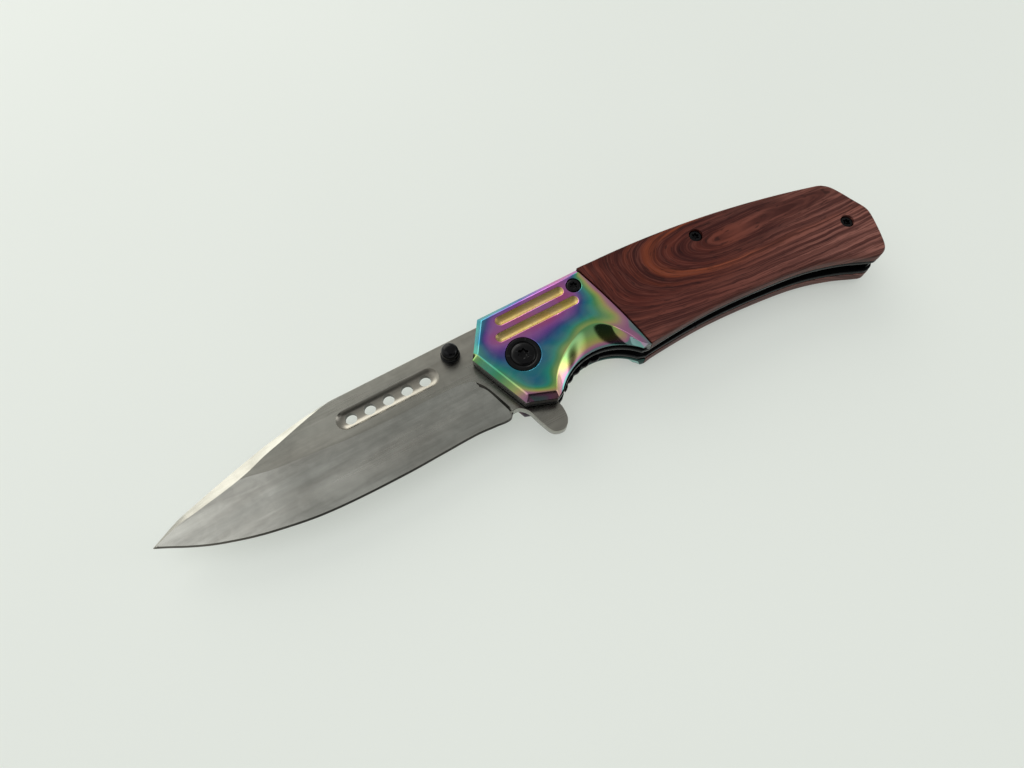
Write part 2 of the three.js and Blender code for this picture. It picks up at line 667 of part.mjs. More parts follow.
// Scoop above the choil: from a low rim on the choil it rises, hollow, to the bolster's face
function scoopCutter() {
  const rimZ = scaleOuter - scoopDepth;
  const rim = arc(choilX, choilY, choilRadius, choilToAngle + 4, choilFromAngle - 3, 16);
  const crest = new THREE.SplineCurve([
    [1.058, 150.5], [1.127, 136.1], [1.174, 125.3], [1.22, 114.7], [1.275, 104.3], [1.325, 97.1],
    [1.388, 88.5], [1.396, 78.7], [1.308, 69.4], [1.183, 60.5], [1.043, 48.1], [0.941, 34.5],
  ].map(([share, angle]) => polar(share * choilRadius, angle, choilX, choilY))).getSpacedPoints(16);
  const shares = [0, 0.35, 0.7, 1];
  const rings = rim.map((low, i) => {
    const inward = point(choilX, choilY).sub(low).normalize().multiplyScalar(2 * scoopDepth);
    const slope = shares.map((q) => {
      const p = low.clone().lerp(crest[i], q);
      return [p.x, p.y, rimZ + scoopDepth * q ** scoopHollow];
    });
    const crestTop = [crest[i].x, crest[i].y, scaleOuter + scoopDepth];
    const outer = low.clone().add(inward);
    return [[outer.x, outer.y, rimZ], ...slope, crestTop, [outer.x, outer.y, scaleOuter + scoopDepth]];
  });
  const corners = [];
  for (let i = 0; i < rings.length - 1; i += 1) {
    for (let j = 0; j < rings[i].length; j += 1) {
      const k = (j + 1) % rings[i].length;
      corners.push(...rings[i][j], ...rings[i][k], ...rings[i + 1][k]);
      corners.push(...rings[i][j], ...rings[i + 1][k], ...rings[i + 1][j]);
    }
  }
  for (let j = 1; j < rings[0].length - 1; j += 1) {
    corners.push(...rings[0][0], ...rings[0][j + 1], ...rings[0][j]);
    corners.push(...rings.at(-1)[0], ...rings.at(-1)[j], ...rings.at(-1)[j + 1]);
  }
  const geometry = new THREE.BufferGeometry();
  geometry.setAttribute('position', new THREE.BufferAttribute(new Float32Array(corners), 3));
  return solid(geometry);
}

// A round-bottomed groove, cut by a lying capsule
function grooveCutter({ from, to, y }) {
  const radius = ((grooveWidth / 2) ** 2 + grooveDepth ** 2) / (2 * grooveDepth);
  const geometry = new THREE.CapsuleGeometry(radius, to - from - grooveWidth, 8, 20);
  geometry.rotateZ(Math.PI / 2);
  geometry.translate((from + to) / 2, y, scaleOuter - grooveDepth + radius);
  return solid(geometry);
}

function bolster() {
  let body = plate(bolsterOutline(), linerOuter, scaleOuter);
  const rim = [...frontEdge(), ...topEdge(), ...jointEdge(0).slice(1)];
  for (let i = 0; i < rim.length - 1; i += 1) {
    const width = i < 2 ? frontChamferWidth : topChamferWidth;
    body = body.subtract(chamferCutter(rim[i], rim[i + 1], scaleOuter, width, chamferDepth));
  }
  body = body.subtract(scoopCutter());
  body = body.subtract(grooveCutter(upperGroove)).subtract(grooveCutter(lowerGroove));
  body = body.subtract(post(0, 0, pivotRadius + runningGap, 0, scaleOuter, roundFacets));
  const headBore = post(
    0, 0, pivotHeadRadius + headGap, pivotHeadLow - seatGap, 2 * scaleOuter, roundFacets);
  return body.subtract(headBore).subtract(screwHole(bolsterScrew)).subtract(counterbore(bolsterScrew));
}

function scale() {
  let body = edgedPlate(scaleOutline(), linerOuter, scaleOuter, scaleRound, scaleRoundSteps);
  [midScrew, tailScrew].forEach((screw) => { body = body.subtract(screwHole(screw)); });
  return body.subtract(counterbore(midScrew));
}
const scaleFront = () => scale().subtract(counterbore(tailScrew));
const scaleRear = () => clipScrewHoles(mirrored(scale()));

// Pocket clip: a bent strip, with a plate at the tail and a free end that presses on the scale
function pocketClip() {
  const bendEnd = clipTailU - clipPlateLength;
  const line = [
    [clipTailU, 0], [bendEnd, 0], [bendEnd - 0.43 * clipBendRun, 0.25 * clipLift],
    [bendEnd - clipBendRun, clipLift], [clipFreeU + clipMouthRun, clipLift],
    [clipFreeU + 0.58 * clipMouthRun, 0.5 * clipLift], [clipFreeU + clipTouchRun, 0.07 * clipLift],
    [clipFreeU + 0.55 * clipTouchRun, 0.2 * clipLift], [clipFreeU, clipLift],
  ];
  const side = [
    ...line.map(([u, h]) => point(u, -h)),
    ...line.map(([u, h]) => point(u, -h - clipThickness)).reverse(),
  ];
  const options = { depth: clipWidth, bevelEnabled: false };
  const strip = new THREE.ExtrudeGeometry(new THREE.Shape(side), options);
  strip.rotateX(Math.PI / 2);
  strip.translate(0, clipWidth / 2, 0);
  const cornerU = clipTailU - clipCornerRadius;
  const cornerV = clipWidth / 2 - clipCornerRadius;
  const plan = [
    ...arc(cornerU, cornerV, clipCornerRadius, 90, 0, 5),
    ...arc(cornerU, -cornerV, clipCornerRadius, 0, -90, 5),
    point(bendEnd, -clipWidth / 2),
    ...arc(clipFreeU + clipTipWidth / 2, 0, clipTipWidth / 2, 270, 90, 8),
    point(bendEnd, clipWidth / 2),
  ];
  const body = solid(strip).intersect(plate(plan, -scaleOuter, scaleOuter))
    .rotate([0, 0, clipLean]).translate([tailScrew.x, tailScrew.y, -scaleOuter]);
  return clipScrewHoles(body).subtract(screwHole(tailScrew));
}
function clipScrew({ x, y }, tipZ) {
  const low = -scaleOuter - clipThickness;
  const top = low - clipScrewHeadDepth;
  const head = turned(x, y, [
    [clipScrewHeadRadius - clipScrewHeadChamfer, top],
    [clipScrewHeadRadius, top + clipScrewHeadChamfer], [clipScrewHeadRadius, low],
  ]);
  const driver = post(x, y, clipSocketRadius, top - 1, top + clipSocketDepth, 6);
  return head.add(post(x, y, screwShankRadius, low, tipZ, 12)).subtract(driver);
}

// The knife
const knife = new THREE.Group();
const add = (name, body, material) => knife.add(mesh(name, body, material));

add('blade', blade(), satinSteel);
add('thumb_stud_front', thumbStudFront(), blackSteel);
add('thumb_stud_rear', thumbStudRear(), blackSteel);
add('pivot_screw', pivotScrew(), blackSteel);
add('pivot_barrel', pivotBarrel(), blackSteel);
add('washer_front', washer(), bronze);
add('washer_rear', mirrored(washer()), bronze);
add('stop_pin', stopPin(), greySteel);
add('liner_front', liner(), blackSteel);
add('liner_rear', linerRear(), blackSteel);
add('lock_bar', lockBar(), greySteel);
add('detent_ball', detentBall(), satinSteel);
add('bolster_standoff', bolsterStandoff(), greySteel);
add('back_spacer', backSpacer(), greySteel);
add('bolster_front', bolster(), rainbowTitanium);
add('bolster_rear', mirrored(bolster()), rainbowTitanium);
add('scale_front', scaleFront(), rosewood);
add('scale_rear', scaleRear(), rosewood);
add('bolster_screw_front', screwFront(bolsterScrew), blackSteel);
add('bolster_screw_rear', mirrored(screwFront(bolsterScrew)), blackSteel);
add('mid_screw_front', screwFront(midScrew), blackSteel);
add('mid_screw_rear', mirrored(screwFront(midScrew)), blackSteel);
add('tail_screw_front', screwFront(tailScrew), blackSteel);
add('tail_screw_rear', clipScrew(tailScrew, -screwTipGap / 2), blackSteel);
add('pocket_clip', pocketClip(), blackSteel);
add('clip_screw_upper', clipScrew(clipScrewSpots[0], -linerInner - screwTipGap / 2), blackSteel);
add('clip_screw_lower', clipScrew(clipScrewSpots[1], -linerInner - screwTipGap / 2), blackSteel);

// Origin at the middle of the lower face of the knife's box
const box = new THREE.Box3().setFromObject(knife);
const middle = box.getCenter(new THREE.Vector3());
knife.position.set(-middle.x, -middle.y, -box.min.z);

const part = new THREE.Group();
part.add(knife);
export default part;
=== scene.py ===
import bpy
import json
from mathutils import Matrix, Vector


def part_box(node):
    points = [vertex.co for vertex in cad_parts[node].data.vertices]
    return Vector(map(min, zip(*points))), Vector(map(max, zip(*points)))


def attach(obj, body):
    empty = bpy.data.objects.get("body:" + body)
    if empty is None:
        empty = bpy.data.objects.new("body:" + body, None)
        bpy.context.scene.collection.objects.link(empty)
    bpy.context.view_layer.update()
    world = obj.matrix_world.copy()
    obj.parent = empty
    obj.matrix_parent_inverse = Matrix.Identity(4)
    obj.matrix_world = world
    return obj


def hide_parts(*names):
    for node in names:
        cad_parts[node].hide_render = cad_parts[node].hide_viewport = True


bl_info = {
    "name": "Folding pocket knife",
    "version": (1, 0, 0),
    "blender": (4, 5, 0),
    "location": "3D View > Sidebar > Knife",
    "description": "Dresses a folding knife with ground steel, rainbow coated bolsters and rosewood scales",
    "category": "Object",
}

import json
import math

import bpy
import numpy as np
from bpy.props import FloatProperty, FloatVectorProperty, IntProperty, PointerProperty

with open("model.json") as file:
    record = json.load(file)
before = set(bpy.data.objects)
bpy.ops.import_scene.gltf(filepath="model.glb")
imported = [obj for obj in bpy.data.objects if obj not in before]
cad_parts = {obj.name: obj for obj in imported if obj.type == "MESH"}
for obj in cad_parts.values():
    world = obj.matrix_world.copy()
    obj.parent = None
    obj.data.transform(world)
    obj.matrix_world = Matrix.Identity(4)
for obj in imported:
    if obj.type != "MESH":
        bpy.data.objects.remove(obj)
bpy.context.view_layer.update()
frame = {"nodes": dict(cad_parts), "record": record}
PIVOT = np.array(frame["record"]["behaviour"]["joints"][0]["pos_m"]) * 1000.0


def levels(node):
    """Lowest and highest z of a CAD node, in millimetres from the blade's middle plane."""
    low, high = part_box(node)
    return low[2] * 1000.0 - PIVOT[2], high[2] * 1000.0 - PIVOT[2]


BLADE_HALF = levels("blade")[1]
LINER_INNER, LINER_OUTER = levels("liner_front")
FACE = levels("scale_front")[1]
REACH = PIVOT[0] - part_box("blade")[0][0] * 1000.0
TAIL_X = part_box("scale_front")[1][0] * 1000.0 - PIVOT[0]

# Places that several pieces share, in millimetres from the pivot
SPINE_Y = 15.0
EDGE_DROP = 12.0
RICASSO_X = -8.86
RICASSO_SHARE = 0.0864
PLUNGE_WIDTH = 0.5
JOINT_TOP_X, JOINT_BOTTOM_X, JOINT_BOTTOM_Y, JOINT_BOW = 25.1, 31.0, -13.8, 0.6
CHOIL_X, CHOIL_Y, CHOIL_RADIUS = 16.8, -24.0, 16.5
CHOIL_FROM, CHOIL_TO = 41.0, 137.0
FRONT_CORNERS = np.array([(2.0, -14.6), (-5.8, -11.6), (-12.1, 5.3), (-5.5, SPINE_Y)])
TAIL_DEPTH = 22.1
LOCK_ROOT_X, LOCK_TIP_X = 48.0, 6.5
STUD = (-16.0, 10.8)
SLOT_AT = (-35.75, 8.2)
BOLSTER_SCREW = (21.9, 10.9)
MID_SCREW = (59.8, 7.8)
TAIL_SCREW = (TAIL_X - 7.7, -9.1)
CLIP_SCREWS = ((0.0, 0.0), (-6.2, 2.9), (-6.2, -2.9))
CLIP_LEAN = math.radians(-8.0)
CLOSING_TURN = 172.0
STOP_PIN_ORBIT, STOP_PIN_TURN, STOP_PIN_RADIUS = 12.5, 99.5, 1.5
BALL_ORBIT, BALL_TURN = 12.6, -33.0

# Radii of shanks, of the holes that they pass and of the seats of screw heads
SCREW_SHANK, SCREW_HOLE = 1.0, 1.03
PIVOT_SHANK, PIVOT_HOLE, STOP_PIN_HOLE = 1.5, 1.53, 1.53
BARREL, BARREL_HOLE = 2.5, 2.56
STUD_SHANK, STUD_HOLE = 1.3, 1.33
BALL_HOLE, BALL_POCKET = 0.83, 0.8
SCALE_SEAT, SCALE_SEAT_DEPTH = 1.95, 2.03
PIVOT_SEAT, PIVOT_SEAT_DEPTH = 4.7, 1.43
BOLSTER_SEAT, BOLSTER_SEAT_DEPTH = 2.1, 1.58


# Points and lines

def on_clip(u, v):
    """Where a point (u, v) of the clip lies: u runs from the tail screw to the tail, turned by CLIP_LEAN."""
    return (TAIL_SCREW[0] + u * math.cos(CLIP_LEAN) - v * math.sin(CLIP_LEAN),
            TAIL_SCREW[1] + u * math.sin(CLIP_LEAN) + v * math.cos(CLIP_LEAN))


def polar(radius, degrees, x=0.0, y=0.0):
    """Points at a radius and an angle from (x, y): x + r cos a, y + r sin a."""
    a = np.radians(degrees)
    return np.stack([x + radius * np.cos(a), y + radius * np.sin(a)], axis=-1)


def arc(x, y, radius, start, stop, count):
    """Evenly turned points of a circle from one angle to another, in degrees."""
    return polar(radius, np.linspace(start, stop, count), x, y)


def through(knots, per_span=10):
    """A smooth line through its knots, by cubic pieces as long as the root of the knots' distance."""
    p = np.asarray(knots, float)
    p = np.vstack([2 * p[0] - p[1], p, 2 * p[-1] - p[-2]])
    gap = np.sqrt(np.linalg.norm(np.diff(p, axis=0), axis=1))[:, None]
    a, b, c = gap[:-2], gap[1:-1], gap[2:]
    chord = np.diff(p, axis=0)
    steep = chord / gap
    out_of = b * (steep[:-2] - (p[2:-1] - p[:-3]) / (a + b) + steep[1:-1])
    into = b * (steep[1:-1] - (p[3:] - p[1:-2]) / (b + c) + steep[2:])
    t = np.linspace(0.0, 1.0, per_span, endpoint=False)[:, None]
    first, last = p[1:-2, None], p[2:-1, None]
    line = ((2 * t**3 - 3 * t**2 + 1) * first + (t**3 - 2 * t**2 + t) * out_of[:, None]
            + (3 * t**2 - 2 * t**3) * last + (t**3 - t**2) * into[:, None])
    return np.vstack([line.reshape(-1, p.shape[1]), p[-2]])


def height_line(x, knots):
    """y at x along the blade, by cubic pieces through knots (share of the reach, y), tip first."""
    shares, ky = np.array(knots, float).T
    kx = RICASSO_X - (shares - RICASSO_SHARE) / (1 - RICASSO_SHARE) * (REACH + RICASSO_X)
    before, after = np.r_[0, np.arange(len(kx) - 1)], np.r_[np.arange(1, len(kx)), len(kx) - 1]
    slope = (ky[after] - ky[before]) / (kx[after] - kx[before])
    i = np.clip(np.searchsorted(kx, x) - 1, 0, len(kx) - 2)
    run = kx[i + 1] - kx[i]
    t = np.clip((x - kx[i]) / run, 0, 1)
    return ((2 * t**3 - 3 * t**2 + 1) * ky[i] + (t**3 - 2 * t**2 + t) * run * slope[i]
            + (3 * t**2 - 2 * t**3) * ky[i + 1] + (t**3 - t**2) * run * slope[i + 1])


def dense(outline, step):
    """The same closed outline with points no further apart than step."""
    after = np.roll(outline, -1, axis=0)
    counts = np.maximum(np.ceil(np.linalg.norm(after - outline, axis=1) / step), 1).astype(int)
    start = np.repeat(outline, counts, axis=0)
    run = np.repeat(after - outline, counts, axis=0)
    passed = np.arange(counts.sum()) - np.repeat(np.cumsum(counts) - counts, counts)
    return start + run * (passed / np.repeat(counts, counts))[:, None]


def area(outline):
    """Signed area of a closed outline, above zero if it runs counter-clockwise."""
    after = np.roll(outline, -1, axis=0)
    return 0.5 * np.sum(outline[:, 0] * after[:, 1] - outline[:, 1] * after[:, 0])


def inset(outline, distance):
    """A counter-clockwise outline moved inwards: each corner slides along its mitre."""
    along = np.roll(outline, -1, axis=0) - outline
    along /= np.linalg.norm(along, axis=1)[:, None]
    normal = np.stack([-along[:, 1], along[:, 0]], axis=1)
    mitre = normal + np.roll(normal, 1, axis=0)
    mitre /= np.linalg.norm(mitre, axis=1)[:, None]
    reach = distance / np.maximum(np.sum(mitre * normal, axis=1), 0.5)
    return outline + mitre * reach[:, None]


def clean(outline):
    """A counter-clockwise outline without points that lie closer together than a least step."""
    least = 0.02
    if area(outline) < 0:
        outline = outline[::-1]
    return outline[np.linalg.norm(np.roll(outline, -1, axis=0) - outline, axis=1) > least]


# Meshes

def read(rows, name, columns=1, kind=float):
    """One property of all vertices, edges, loops or faces, as an array with a row for each."""
    values = np.empty(len(rows) * columns, kind)
    rows.foreach_get(name, values)
    return values.reshape(-1, columns) if columns > 1 else values


def spots_of(piece):
    """The piece's points in millimetres from the pivot."""
    return read(piece.data.vertices, "co", 3) * 1000.0 - PIVOT


def quads(rows, columns):
    """Corner numbers of the quads of a grid whose columns close on themselves."""
    i, j = np.meshgrid(np.arange(rows - 1), np.arange(columns), indexing="ij")
    i, j = i.ravel() * columns, j.ravel()
    k = (j + 1) % columns
    return np.stack([i + j, i + k, i + columns + k, i + columns + j], axis=1)


def piece_from(name, points, faces, smooth):
    """An object with that mesh. Its points come in millimetres from the pivot and are put in the frame."""
    mesh = bpy.data.meshes.new(name)
    mesh.from_pydata((np.asarray(points) + PIVOT) / 1000.0, [], faces)
    mesh.validate()
    mesh.shade_smooth()
    mesh.set_sharp_from_angle(angle=math.radians(smooth))
    piece = bpy.data.objects.new(name, mesh)
    bpy.context.scene.collection.objects.link(piece)
    return piece


def closed_rings(name, rings, smooth=35.0):
    """A closed skin over rings of equal count, lowest first, each counter-clockwise, with flat ends."""
    rings = np.asarray(rings, float)
    rows, columns = rings.shape[:2]
    faces = quads(rows, columns).tolist()
    faces += [np.arange(columns)[::-1].tolist(), (np.arange(columns) + (rows - 1) * columns).tolist()]
    return piece_from(name, rings.reshape(-1, 3), faces, smooth)


def plate(name, outline, low, high, round_low=0.0, round_high=0.0, steps=4, smooth=35.0, share=None):
    """A plate between two heights. Each rim is a quarter round: inset r(1 - sin t), height r(1 - cos t).
    A share, a function of the outline's points, makes r smaller on parts of it."""
    outline = clean(outline)
    part = np.ones(len(outline)) if share is None else share(outline)
    rings = []
    for radius, level, way in ((round_low, low, 1), (round_high, high, -1)):
        t = np.linspace(0, np.pi / 2, steps) if radius else np.array([np.pi / 2])
        side = [np.column_stack([inset(outline, radius * part * (1 - np.sin(a))),
                                 level + way * radius * part * (1 - np.cos(a))]) for a in t]
        if radius:
            foot = inset(outline, 1.4 * radius * part)
            side.insert(0, np.column_stack([foot, np.full(len(outline), level)]))
        rings += side if way > 0 else side[::-1]
    return closed_rings(name, rings, smooth)


def turned(name, x, y, profile, lobes=None, count=96):
    """A profile of (radius, z), lowest first, carried round an upright axis as
    radius(a) = r (1 + lobe cos 6a)."""
    profile = np.asarray(profile, float)
    lobes = np.zeros(len(profile)) if lobes is None else np.asarray(lobes, float)
    a = np.linspace(0, 2 * np.pi, count, endpoint=False)
    radius = profile[:, :1] * (1 + lobes[:, None] * np.cos(6 * a))
    rings = np.stack([x + radius * np.cos(a), y + radius * np.sin(a),
                      np.broadcast_to(profile[:, 1:], radius.shape)], axis=-1)
    return closed_rings(name, rings)


def settle(piece, smooth=35.0):
    """Makes what the modifiers show the piece's own mesh."""
    shown = piece.evaluated_get(bpy.context.evaluated_depsgraph_get())
    mesh = bpy.data.meshes.new_from_object(shown)
    piece.modifiers.clear()
    piece.data = mesh
    mesh.shade_smooth()
    mesh.set_sharp_from_angle(angle=math.radians(smooth))
    return piece


def combine(piece, others, operation="DIFFERENCE", smooth=35.0):
    """Cuts the others from the piece, or joins them to it, and removes them."""
    for other in others:
        step = piece.modifiers.new(other.name, "BOOLEAN")
        step.operation = operation
        step.solver = "EXACT"
        step.object = other
    settle(piece, smooth)
    for other in others:
        bpy.data.objects.remove(other)
    return piece


def crease(piece, fine, coarse, flat_part):
    """Marks an edge sharp where its two faces turn by more than a limit, which is finer between level
    faces in the flat part."""
    mesh = piece.data
    totals = read(mesh.polygons, "loop_total", kind=np.int32)
    normals = read(mesh.polygons, "normal", 3)
    edges = read(mesh.loops, "edge_index", kind=np.int32)
    owner = np.repeat(np.arange(len(totals)), totals)[np.argsort(edges, kind="stable")]
    counts = np.bincount(edges, minlength=len(mesh.edges))
    first = np.cumsum(counts) - counts
    one, other = normals[owner[first]], normals[owner[first + counts - 1]]
    turn = np.degrees(np.arccos(np.clip(np.sum(one * other, axis=1), -1, 1)))
    middle = spots_of(piece)[read(mesh.edges, "vertices", 2, np.int32)].mean(axis=1)
    level = np.minimum(np.abs(one[:, 2]), np.abs(other[:, 2])) > 0.88
    sharp = mesh.attributes.get("sharp_edge") or mesh.attributes.new("sharp_edge", "BOOLEAN", "EDGE")
    sharp.data.foreach_set("value", turn > np.where(level & flat_part(middle), fine, coarse))
    return piece


def weld(piece, distance):
    """Merges points that lie closer together than a distance in millimetres."""
    piece.modifiers.new("weld", "WELD").merge_threshold = distance / 1000.0
    return piece


def ease(piece, width, angle):
    """Rounds the hard edges that are left, with the flat faces kept flat."""
    step = piece.modifiers.new("eased edges", "BEVEL")
    step.width = width / 1000.0
    step.segments = 2
    step.limit_method = "ANGLE"
    step.angle_limit = math.radians(angle)
    step.harden_normals = True
    return piece


def rod(x, y, radius, low, high, count=64):
    """A round rod, as a cutter or a shank."""
    return turned("rod", x, y, [(radius, low), (radius, high)], count=count)


def far_side(piece):
    """Moves a piece made for the front to the rear: z becomes -z, and its faces are turned back outwards."""
    mesh = piece.data
    spots = read(mesh.vertices, "co", 3)
    spots[:, 2] = 2 * PIVOT[2] / 1000.0 - spots[:, 2]
    mesh.vertices.foreach_set("co", spots.ravel())
    mesh.flip_normals()
    mesh.update()
    return piece


def give_value(piece, name, values):
    """Keeps one number for each point of the piece's mesh."""
    kept = piece.data.attributes.new(name, "FLOAT", "POINT")
    kept.data.foreach_set("value", np.asarray(values, np.float32))


def cover(piece, finish):
    """Gives a piece one finish all over."""
    piece.data.materials.clear()
    piece.data.materials.append(bpy.data.materials[finish])


def dress(piece, finish, body, node_name):
    """Gives a finished piece its finish and its body, and hides the CAD node that it stands for."""
    cover(piece, finish)
    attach(piece, body)
    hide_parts(node_name)


# Outlines of the handle

def joint_x(y, shift=0.0):
    """Where bolster and scale meet: a line from top to bottom with a slight bow, 4 t (1 - t)."""
    t = (SPINE_Y - y) / (SPINE_Y - JOINT_BOTTOM_Y)
    return JOINT_TOP_X + (JOINT_BOTTOM_X - JOINT_TOP_X) * t + JOINT_BOW * 4 * t * (1 - t) + shift


def spine_y(x):
    """The handle's back: straight to the joint, then a shallow parabola."""
    return SPINE_Y - np.maximum(x - JOINT_TOP_X, 0) ** 2 / 540.0


def joint_edge(shift):
    """The joint from top to bottom."""
    y = np.linspace(SPINE_Y, JOINT_BOTTOM_Y, 40)
    return np.column_stack([joint_x(y, shift), y])


def tail_and_belly():
    """The handle's tail, from the spine round the corner, and its belly to the joint."""
    def at(back, down):
        """A point in shares of the tail's depth, from the tail's end and from the pivot's height."""
        return TAIL_X - back * TAIL_DEPTH, -down * TAIL_DEPTH

    def under_spine(back, down):
        """A point in shares of the tail's depth, from the tail's end and from the spine."""
        x = TAIL_X - back * TAIL_DEPTH
        return x, spine_y(x) - down * TAIL_DEPTH
    tail = through([under_spine(0.3, 0.008), under_spine(0.213, 0.062), at(0.077, 0.186), at(0.005, 0.371),
                    at(0.005, 0.462), at(0.136, 0.905), at(0.195, 0.977), at(0.281, 1), at(0.389, 0.964)])
    belly = through([at(0.389, 0.964), at(0.679, 0.842), at(1.14, 0.71), at(1.833, 0.62),
                     (1.042 * LOCK_ROOT_X, 0.928 * JOINT_BOTTOM_Y),
                     (1.048 * JOINT_BOTTOM_X, 0.986 * JOINT_BOTTOM_Y), (JOINT_BOTTOM_X, JOINT_BOTTOM_Y)])
    return tail, belly[1:]


def spine_edge(start):
    """The handle's back from start to the tail's corner."""
    x = np.linspace(start, TAIL_X - 0.35 * TAIL_DEPTH, 40)
    return np.column_stack([x, spine_y(x)])


def handle_outline(choil_radius):
    """The whole handle, seen from the front."""
    tail, belly = tail_and_belly()
    return np.vstack([FRONT_CORNERS, spine_edge(JOINT_TOP_X), tail, belly,
                      arc(CHOIL_X, CHOIL_Y, choil_radius, CHOIL_FROM, CHOIL_TO, 60)])


def scale_outline():
    """The wooden scale, from a narrow gap at the joint to the tail."""
    gap = 0.2
    tail, belly = tail_and_belly()
    belly = belly[belly[:, 0] > 1.05 * JOINT_BOTTOM_X]
    return np.vstack([joint_edge(gap)[::-1], spine_edge(JOINT_TOP_X + 2.0), tail, belly])


# Shader node groups

def feed(tree, made, inputs):
    """Fills a node's inputs, each with a value or with another node's output."""
    for key, value in inputs.items():
        if isinstance(value, bpy.types.NodeSocket):
            tree.links.new(value, made.inputs[key])
        else:
            made.inputs[key].default_value = value
    return made


def node(tree, kind, inputs=None, **settings):
    """Adds a shader node."""
    made = tree.nodes.new(kind)
    for key, value in settings.items():
        setattr(made, key, value)
    return feed(tree, made, inputs or {})


def mathematics(tree, operation, a, b=0.0, clamp=False):
    """One step of arithmetic."""
    return node(tree, "ShaderNodeMath", {0: a, 1: b}, operation=operation, use_clamp=clamp).outputs[0]


def times(tree, a, b, clamp=False):
    """The product of two values."""
    return mathematics(tree, "MULTIPLY", a, b, clamp)


def plus(tree, a, b, clamp=False):
    """The sum of two values."""
    return mathematics(tree, "ADD", a, b, clamp)


def vectors(tree, operation, a, b=(0.0, 0.0, 0.0), result="Vector"):
    """One step of arithmetic with vectors."""
    return node(tree, "ShaderNodeVectorMath", {0: a, 1: b}, operation=operation).outputs[result]


def separate(tree, vector):
    """The three parts of a vector."""
    return node(tree, "ShaderNodeSeparateXYZ", {0: vector}).outputs


def noise(tree, vector, scale, detail, result="Fac", **inputs):
    """Smooth noise from 0 to 1."""
    inputs.update(Vector=vector, Scale=scale, Detail=detail)
    return node(tree, "ShaderNodeTexNoise", inputs).outputs[result]


def drawn_out(tree, vector, scale):
    """A vector stretched by a scale for each axis."""
    return node(tree, "ShaderNodeMapping", {"Vector": vector, "Scale": scale}).outputs[0]


def span(tree, value, low, high, to_low=0.0, to_high=1.0):
    """Maps low..high to to_low..to_high, smoothly and clamped."""
    return node(tree, "ShaderNodeMapRange", {"Value": value, "From Min": low, "From Max": high,
                "To Min": to_low, "To Max": to_high}, interpolation_type="SMOOTHSTEP").outputs[0]


def share_of(tree, value, low, high):
    """How far a value lies from low to high, as a share from 0 to 1."""
    return node(tree, "ShaderNodeMapRange", {"Value": value, "From Min": low, "From Max": high}).outputs[0]


def blend(tree, share, a, b):
    """Mixes two colours."""
    a, b = (c if isinstance(c, bpy.types.NodeSocket) else (*c[:3], 1.0) for c in (a, b))
    return node(tree, "ShaderNodeMix", {0: share, 6: a, 7: b}, data_type="RGBA").outputs[2]


def colours(tree, value, stops):
    """A colour ramp through (place, (r, g, b)) stops."""
    made = node(tree, "ShaderNodeValToRGB", {"Fac": value})
    ramp = made.color_ramp
    while len(ramp.elements) < len(stops):
        ramp.elements.new(0.5)
    for element, (at, tint) in zip(ramp.elements, stops):
        element.position = at
        element.color = (*tint, 1.0)
    return made.outputs[0]


def group(name, number, usual, results, kind="Float"):
    """A node group that takes a vector and a number: its tree, what it takes and the node for its results."""
    tree = bpy.data.node_groups.new(name, "ShaderNodeTree")
    tree.interface.new_socket(name="Vector", in_out="INPUT", socket_type="NodeSocketVector")
    taken = tree.interface.new_socket(name=number, in_out="INPUT", socket_type="NodeSocketFloat")
    taken.default_value = usual
    for result in results:
        tree.interface.new_socket(name=result, in_out="OUTPUT", socket_type="NodeSocket" + kind)
    return tree, tree.nodes.new("NodeGroupInput").outputs, tree.nodes.new("NodeGroupOutput")


def place(tree, name, where, **inputs):
    """Puts a group into a tree with its own values."""
    made = tree.nodes.new("ShaderNodeGroup")
    made.node_tree = bpy.data.node_groups[name]
    return feed(tree, made, {"Vector": where, **inputs}).outputs


def make_brushing():
    """Fine grinding lines: noise drawn out along X, at two pitches."""
    tree, takes, gives = group("Brushing", "Pitch", 1.0, ["Lines"])
    layers = []
    for across, along in ((1500.0, 22.0), (4200.0, 60.0)):
        drawn = drawn_out(tree, takes["Vector"], (along, across, across))
        spread = node(tree, "ShaderNodeVectorMath", {0: drawn, "Scale": takes["Pitch"]}, operation="SCALE")
        layers.append(noise(tree, spread.outputs[0], 1.0, 1.0))
    feed(tree, gives, {"Lines": times(tree, plus(tree, *layers), 0.5)})


def make_clouds():
    """Slow cloudy marks, as handling and polishing leave: two noises, one of them drawn out along X."""
    tree, takes, gives = group("Clouds", "Size", 0.02, ["Cloud", "Streak"])
    count = mathematics(tree, "DIVIDE", 1.0, takes["Size"])
    drawn = drawn_out(tree, takes["Vector"], (0.25, 1.6, 1.6))
    cloud = noise(tree, takes["Vector"], count, 3.0, Distortion=0.6)
    feed(tree, gives, {"Cloud": span(tree, cloud, 0.3, 0.7),
                       "Streak": span(tree, noise(tree, drawn, count, 4.0), 0.3, 0.7)})


def make_edge_wear():
    """Worn edges: where the surface turns outwards sharply, broken up by noise."""
    tree, takes, gives = group("Edge wear", "Amount", 0.5, ["Wear"])
    edge = span(tree, node(tree, "ShaderNodeNewGeometry").outputs["Pointiness"], 0.52, 0.6)
    broken = times(tree, edge, span(tree, noise(tree, takes["Vector"], 1400.0, 3.0), 0.35, 0.6))
    feed(tree, gives, {"Wear": times(tree, broken, takes["Amount"], True)})


